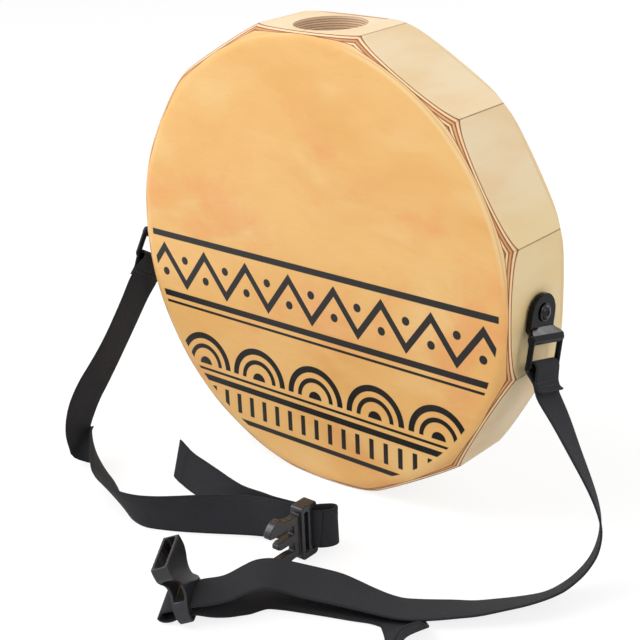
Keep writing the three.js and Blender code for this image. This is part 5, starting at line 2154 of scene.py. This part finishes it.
@dataclass
class StrapBracket:
    """A moulded bracket that swivels on its screw, with the screw and its nut."""

    frame: BracketFrame
    tongue_half: float = 0.015
    frame_half: float = 0.0206
    bead: Triple = (0.0100, -0.0172, 0.0029)
    bead_margin: float = 0.0008
    bead_steps: int = 24
    post: Triple = (0.0103, 0.0186, 0.0021)
    post_ends: Pair = (-0.0362, -0.016)
    post_steps: int = 20
    shoulder_out: Pair = (0.004, 0.0088)
    shoulder_up: Pair = (-0.023, -0.009)
    shoulder_back: float = -0.002
    shoulder_reach: float = 0.004
    head_radius: float = 0.0065
    head_seat: float = 0.0059
    head_rise: float = 0.0032
    head_steps: int = 64
    head_crease: float = 30.0
    # The washer's rim, from the head's radius and its seat, then where the dome begins
    washer: tuple[Pair, ...] = ((-0.0002, 0.0), (0.0, 0.0002), (0.0, 0.0007), (-0.0003, 0.001))
    dome_foot: Pair = (0.0050, 0.00115)
    dome: Pair = (0.0048, 0.00125)
    dome_steps: int = 9
    recess: Triple = (0.0046, 0.0009, 0.003)
    recess_lift: float = 0.0003
    recess_turn: float = 0.5
    shank_radius: float = 0.0025
    shank_tip: float = -0.0138
    voxel: float = 0.00035
    passes: int = 7

    def screw(self) -> bpy.types.Object:
        """Turns the washer-head screw and sinks a cross recess in it.

        Returns:
            The screw in its place.
        """
        seat, (radius, foot) = self.head_seat, self.dome
        profile = [(0.0, self.shank_tip), (self.shank_radius, self.shank_tip), (self.shank_radius, seat)]
        profile += [(self.head_radius + out, seat + up) for out, up in self.washer]
        profile.append((self.dome_foot[0], seat + self.dome_foot[1]))
        for step in range(1, self.dome_steps + 1):
            angle = step / self.dome_steps * math.pi / 2
            height = seat + foot + (self.head_rise - foot) * math.sin(angle)
            profile.append((radius * math.cos(angle), height))
        profile[-1] = (0.0, profile[-1][1])
        screw = turned_piece(f"swivel_screw_{self.frame.side.value}", profile, self.head_steps)
        top = Matrix.Translation((0, 0, seat + self.head_rise + self.recess_lift))
        for turn in (0.0, math.pi / 2):
            place = top @ Matrix.Rotation(turn + self.recess_turn, 4, "Z")
            drilled(screw, box("slot", self.recess, place))
        stand = Matrix(((0, 0, 1, 0), (1, 0, 0, 0), (0, 1, 0, 0), (0, 0, 0, 1)))
        screw.data.transform(self.frame.matrix() @ stand)
        shade(screw, self.head_crease)
        return dress(screw, BLACK_STEEL)

    def rods(self) -> list[bpy.types.Object]:
        """Makes the frame's rounded top bead and its two rounded posts.

        Returns:
            The three rods in their places.
        """
        out, up, radius = self.bead
        half = self.frame_half - self.bead_margin
        level = Matrix.Translation((out, 0.0, up)) @ Matrix.Rotation(math.pi / 2, 4, "X")
        made = [rod("bead", radius, -half, half, self.bead_steps, self.frame.matrix() @ level)]
        out, across, radius = self.post
        for hand in (1, -1):
            place = self.frame.matrix() @ Matrix.Translation((out, hand * across, 0.0))
            made.append(rod("post", radius, *self.post_ends, self.post_steps, place))
        return made

    def shoulder_cutters(self) -> list[bpy.types.Object]:
        """Makes the two prisms that slope the frame's shoulders back to the tongue's width.

        Returns:
            The cutters in their places.
        """
        (near, far), back, side = self.shoulder_out, self.shoulder_back, self.frame_half + self.shoulder_reach
        outline = [(back, self.tongue_half), (near, self.tongue_half), (far, self.frame_half)]
        outline += [(far, side), (back, side)]
        tools = []
        for hand in (1, -1):
            tool = prism("shoulder", [(x, hand * y) for x, y in outline], *self.shoulder_up)
            tool.data.transform(self.frame.matrix())
            tools.append(tool)
        return tools

    def build(self, nodes: dict[str, bpy.types.Object]) -> None:
        """Makes the bracket and its screw, and dresses the nut.

        Args:
            nodes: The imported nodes.
        """
        side = self.frame.side.value
        node, forms = nodes[f"bracket_{side}"], (self.rods(), self.shoulder_cutters())
        body = moulded(f"swivel_bracket_{side}", node, self.voxel, self.passes, *forms)
        enlist(dress(body, BRACKET_PLASTIC), f"{side}_bracket", "black_plastic", f"bracket_{side}")
        enlist(self.screw(), DRUM_BODY, "black_steel", f"bracket_screw_{side}")
        dress(nodes[f"bracket_nut_{side}"], BRIGHT_STEEL)


@dataclass
class Buckle:
    """The two halves of the side-release buckle, each on one side's webbing."""

    voxel: float = 0.0004
    passes: int = 3

    def build(self, nodes: dict[str, bpy.types.Object]) -> list[bpy.types.Object]:
        """Makes both halves.

        Args:
            nodes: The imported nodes.

        Returns:
            The plug, then the socket.
        """
        halves = []
        for half in ("plug", "socket"):
            piece = moulded(f"side_release_{half}", nodes[f"buckle_{half}"], self.voxel, self.passes)
            halves.append(enlist(dress(piece, BUCKLE_PLASTIC), DRUM_BODY, "black_plastic", f"buckle_{half}"))
        return halves


def main() -> None:
    """Builds the scene."""
    logging.basicConfig(level=logging.INFO, format="%(name)s %(message)s")
    nodes = frame["nodes"]
    Studio().build()
    right = BracketFrame(Side.RIGHT, tilt=-14.0)
    left = BracketFrame(Side.LEFT, tilt=-32.0)
    plug, socket = Buckle().build(nodes)
    Strap(right, RIGHT_RUN_ROUTE, RIGHT_TAIL_ROUTE, lean=25.0).build(socket)
    Strap(
        left, LEFT_RUN_ROUTE, LEFT_TAIL_ROUTE, lean=12.0, tip_lift=0.0045, tip_slant=0.0043, tab_flare=0.0002
    ).build(plug)
    DrumShell().build()
    Snare().build(nodes)
    for hanging in (right, left):
        StrapBracket(hanging).build(nodes)


if __name__ == "__main__":
    main()
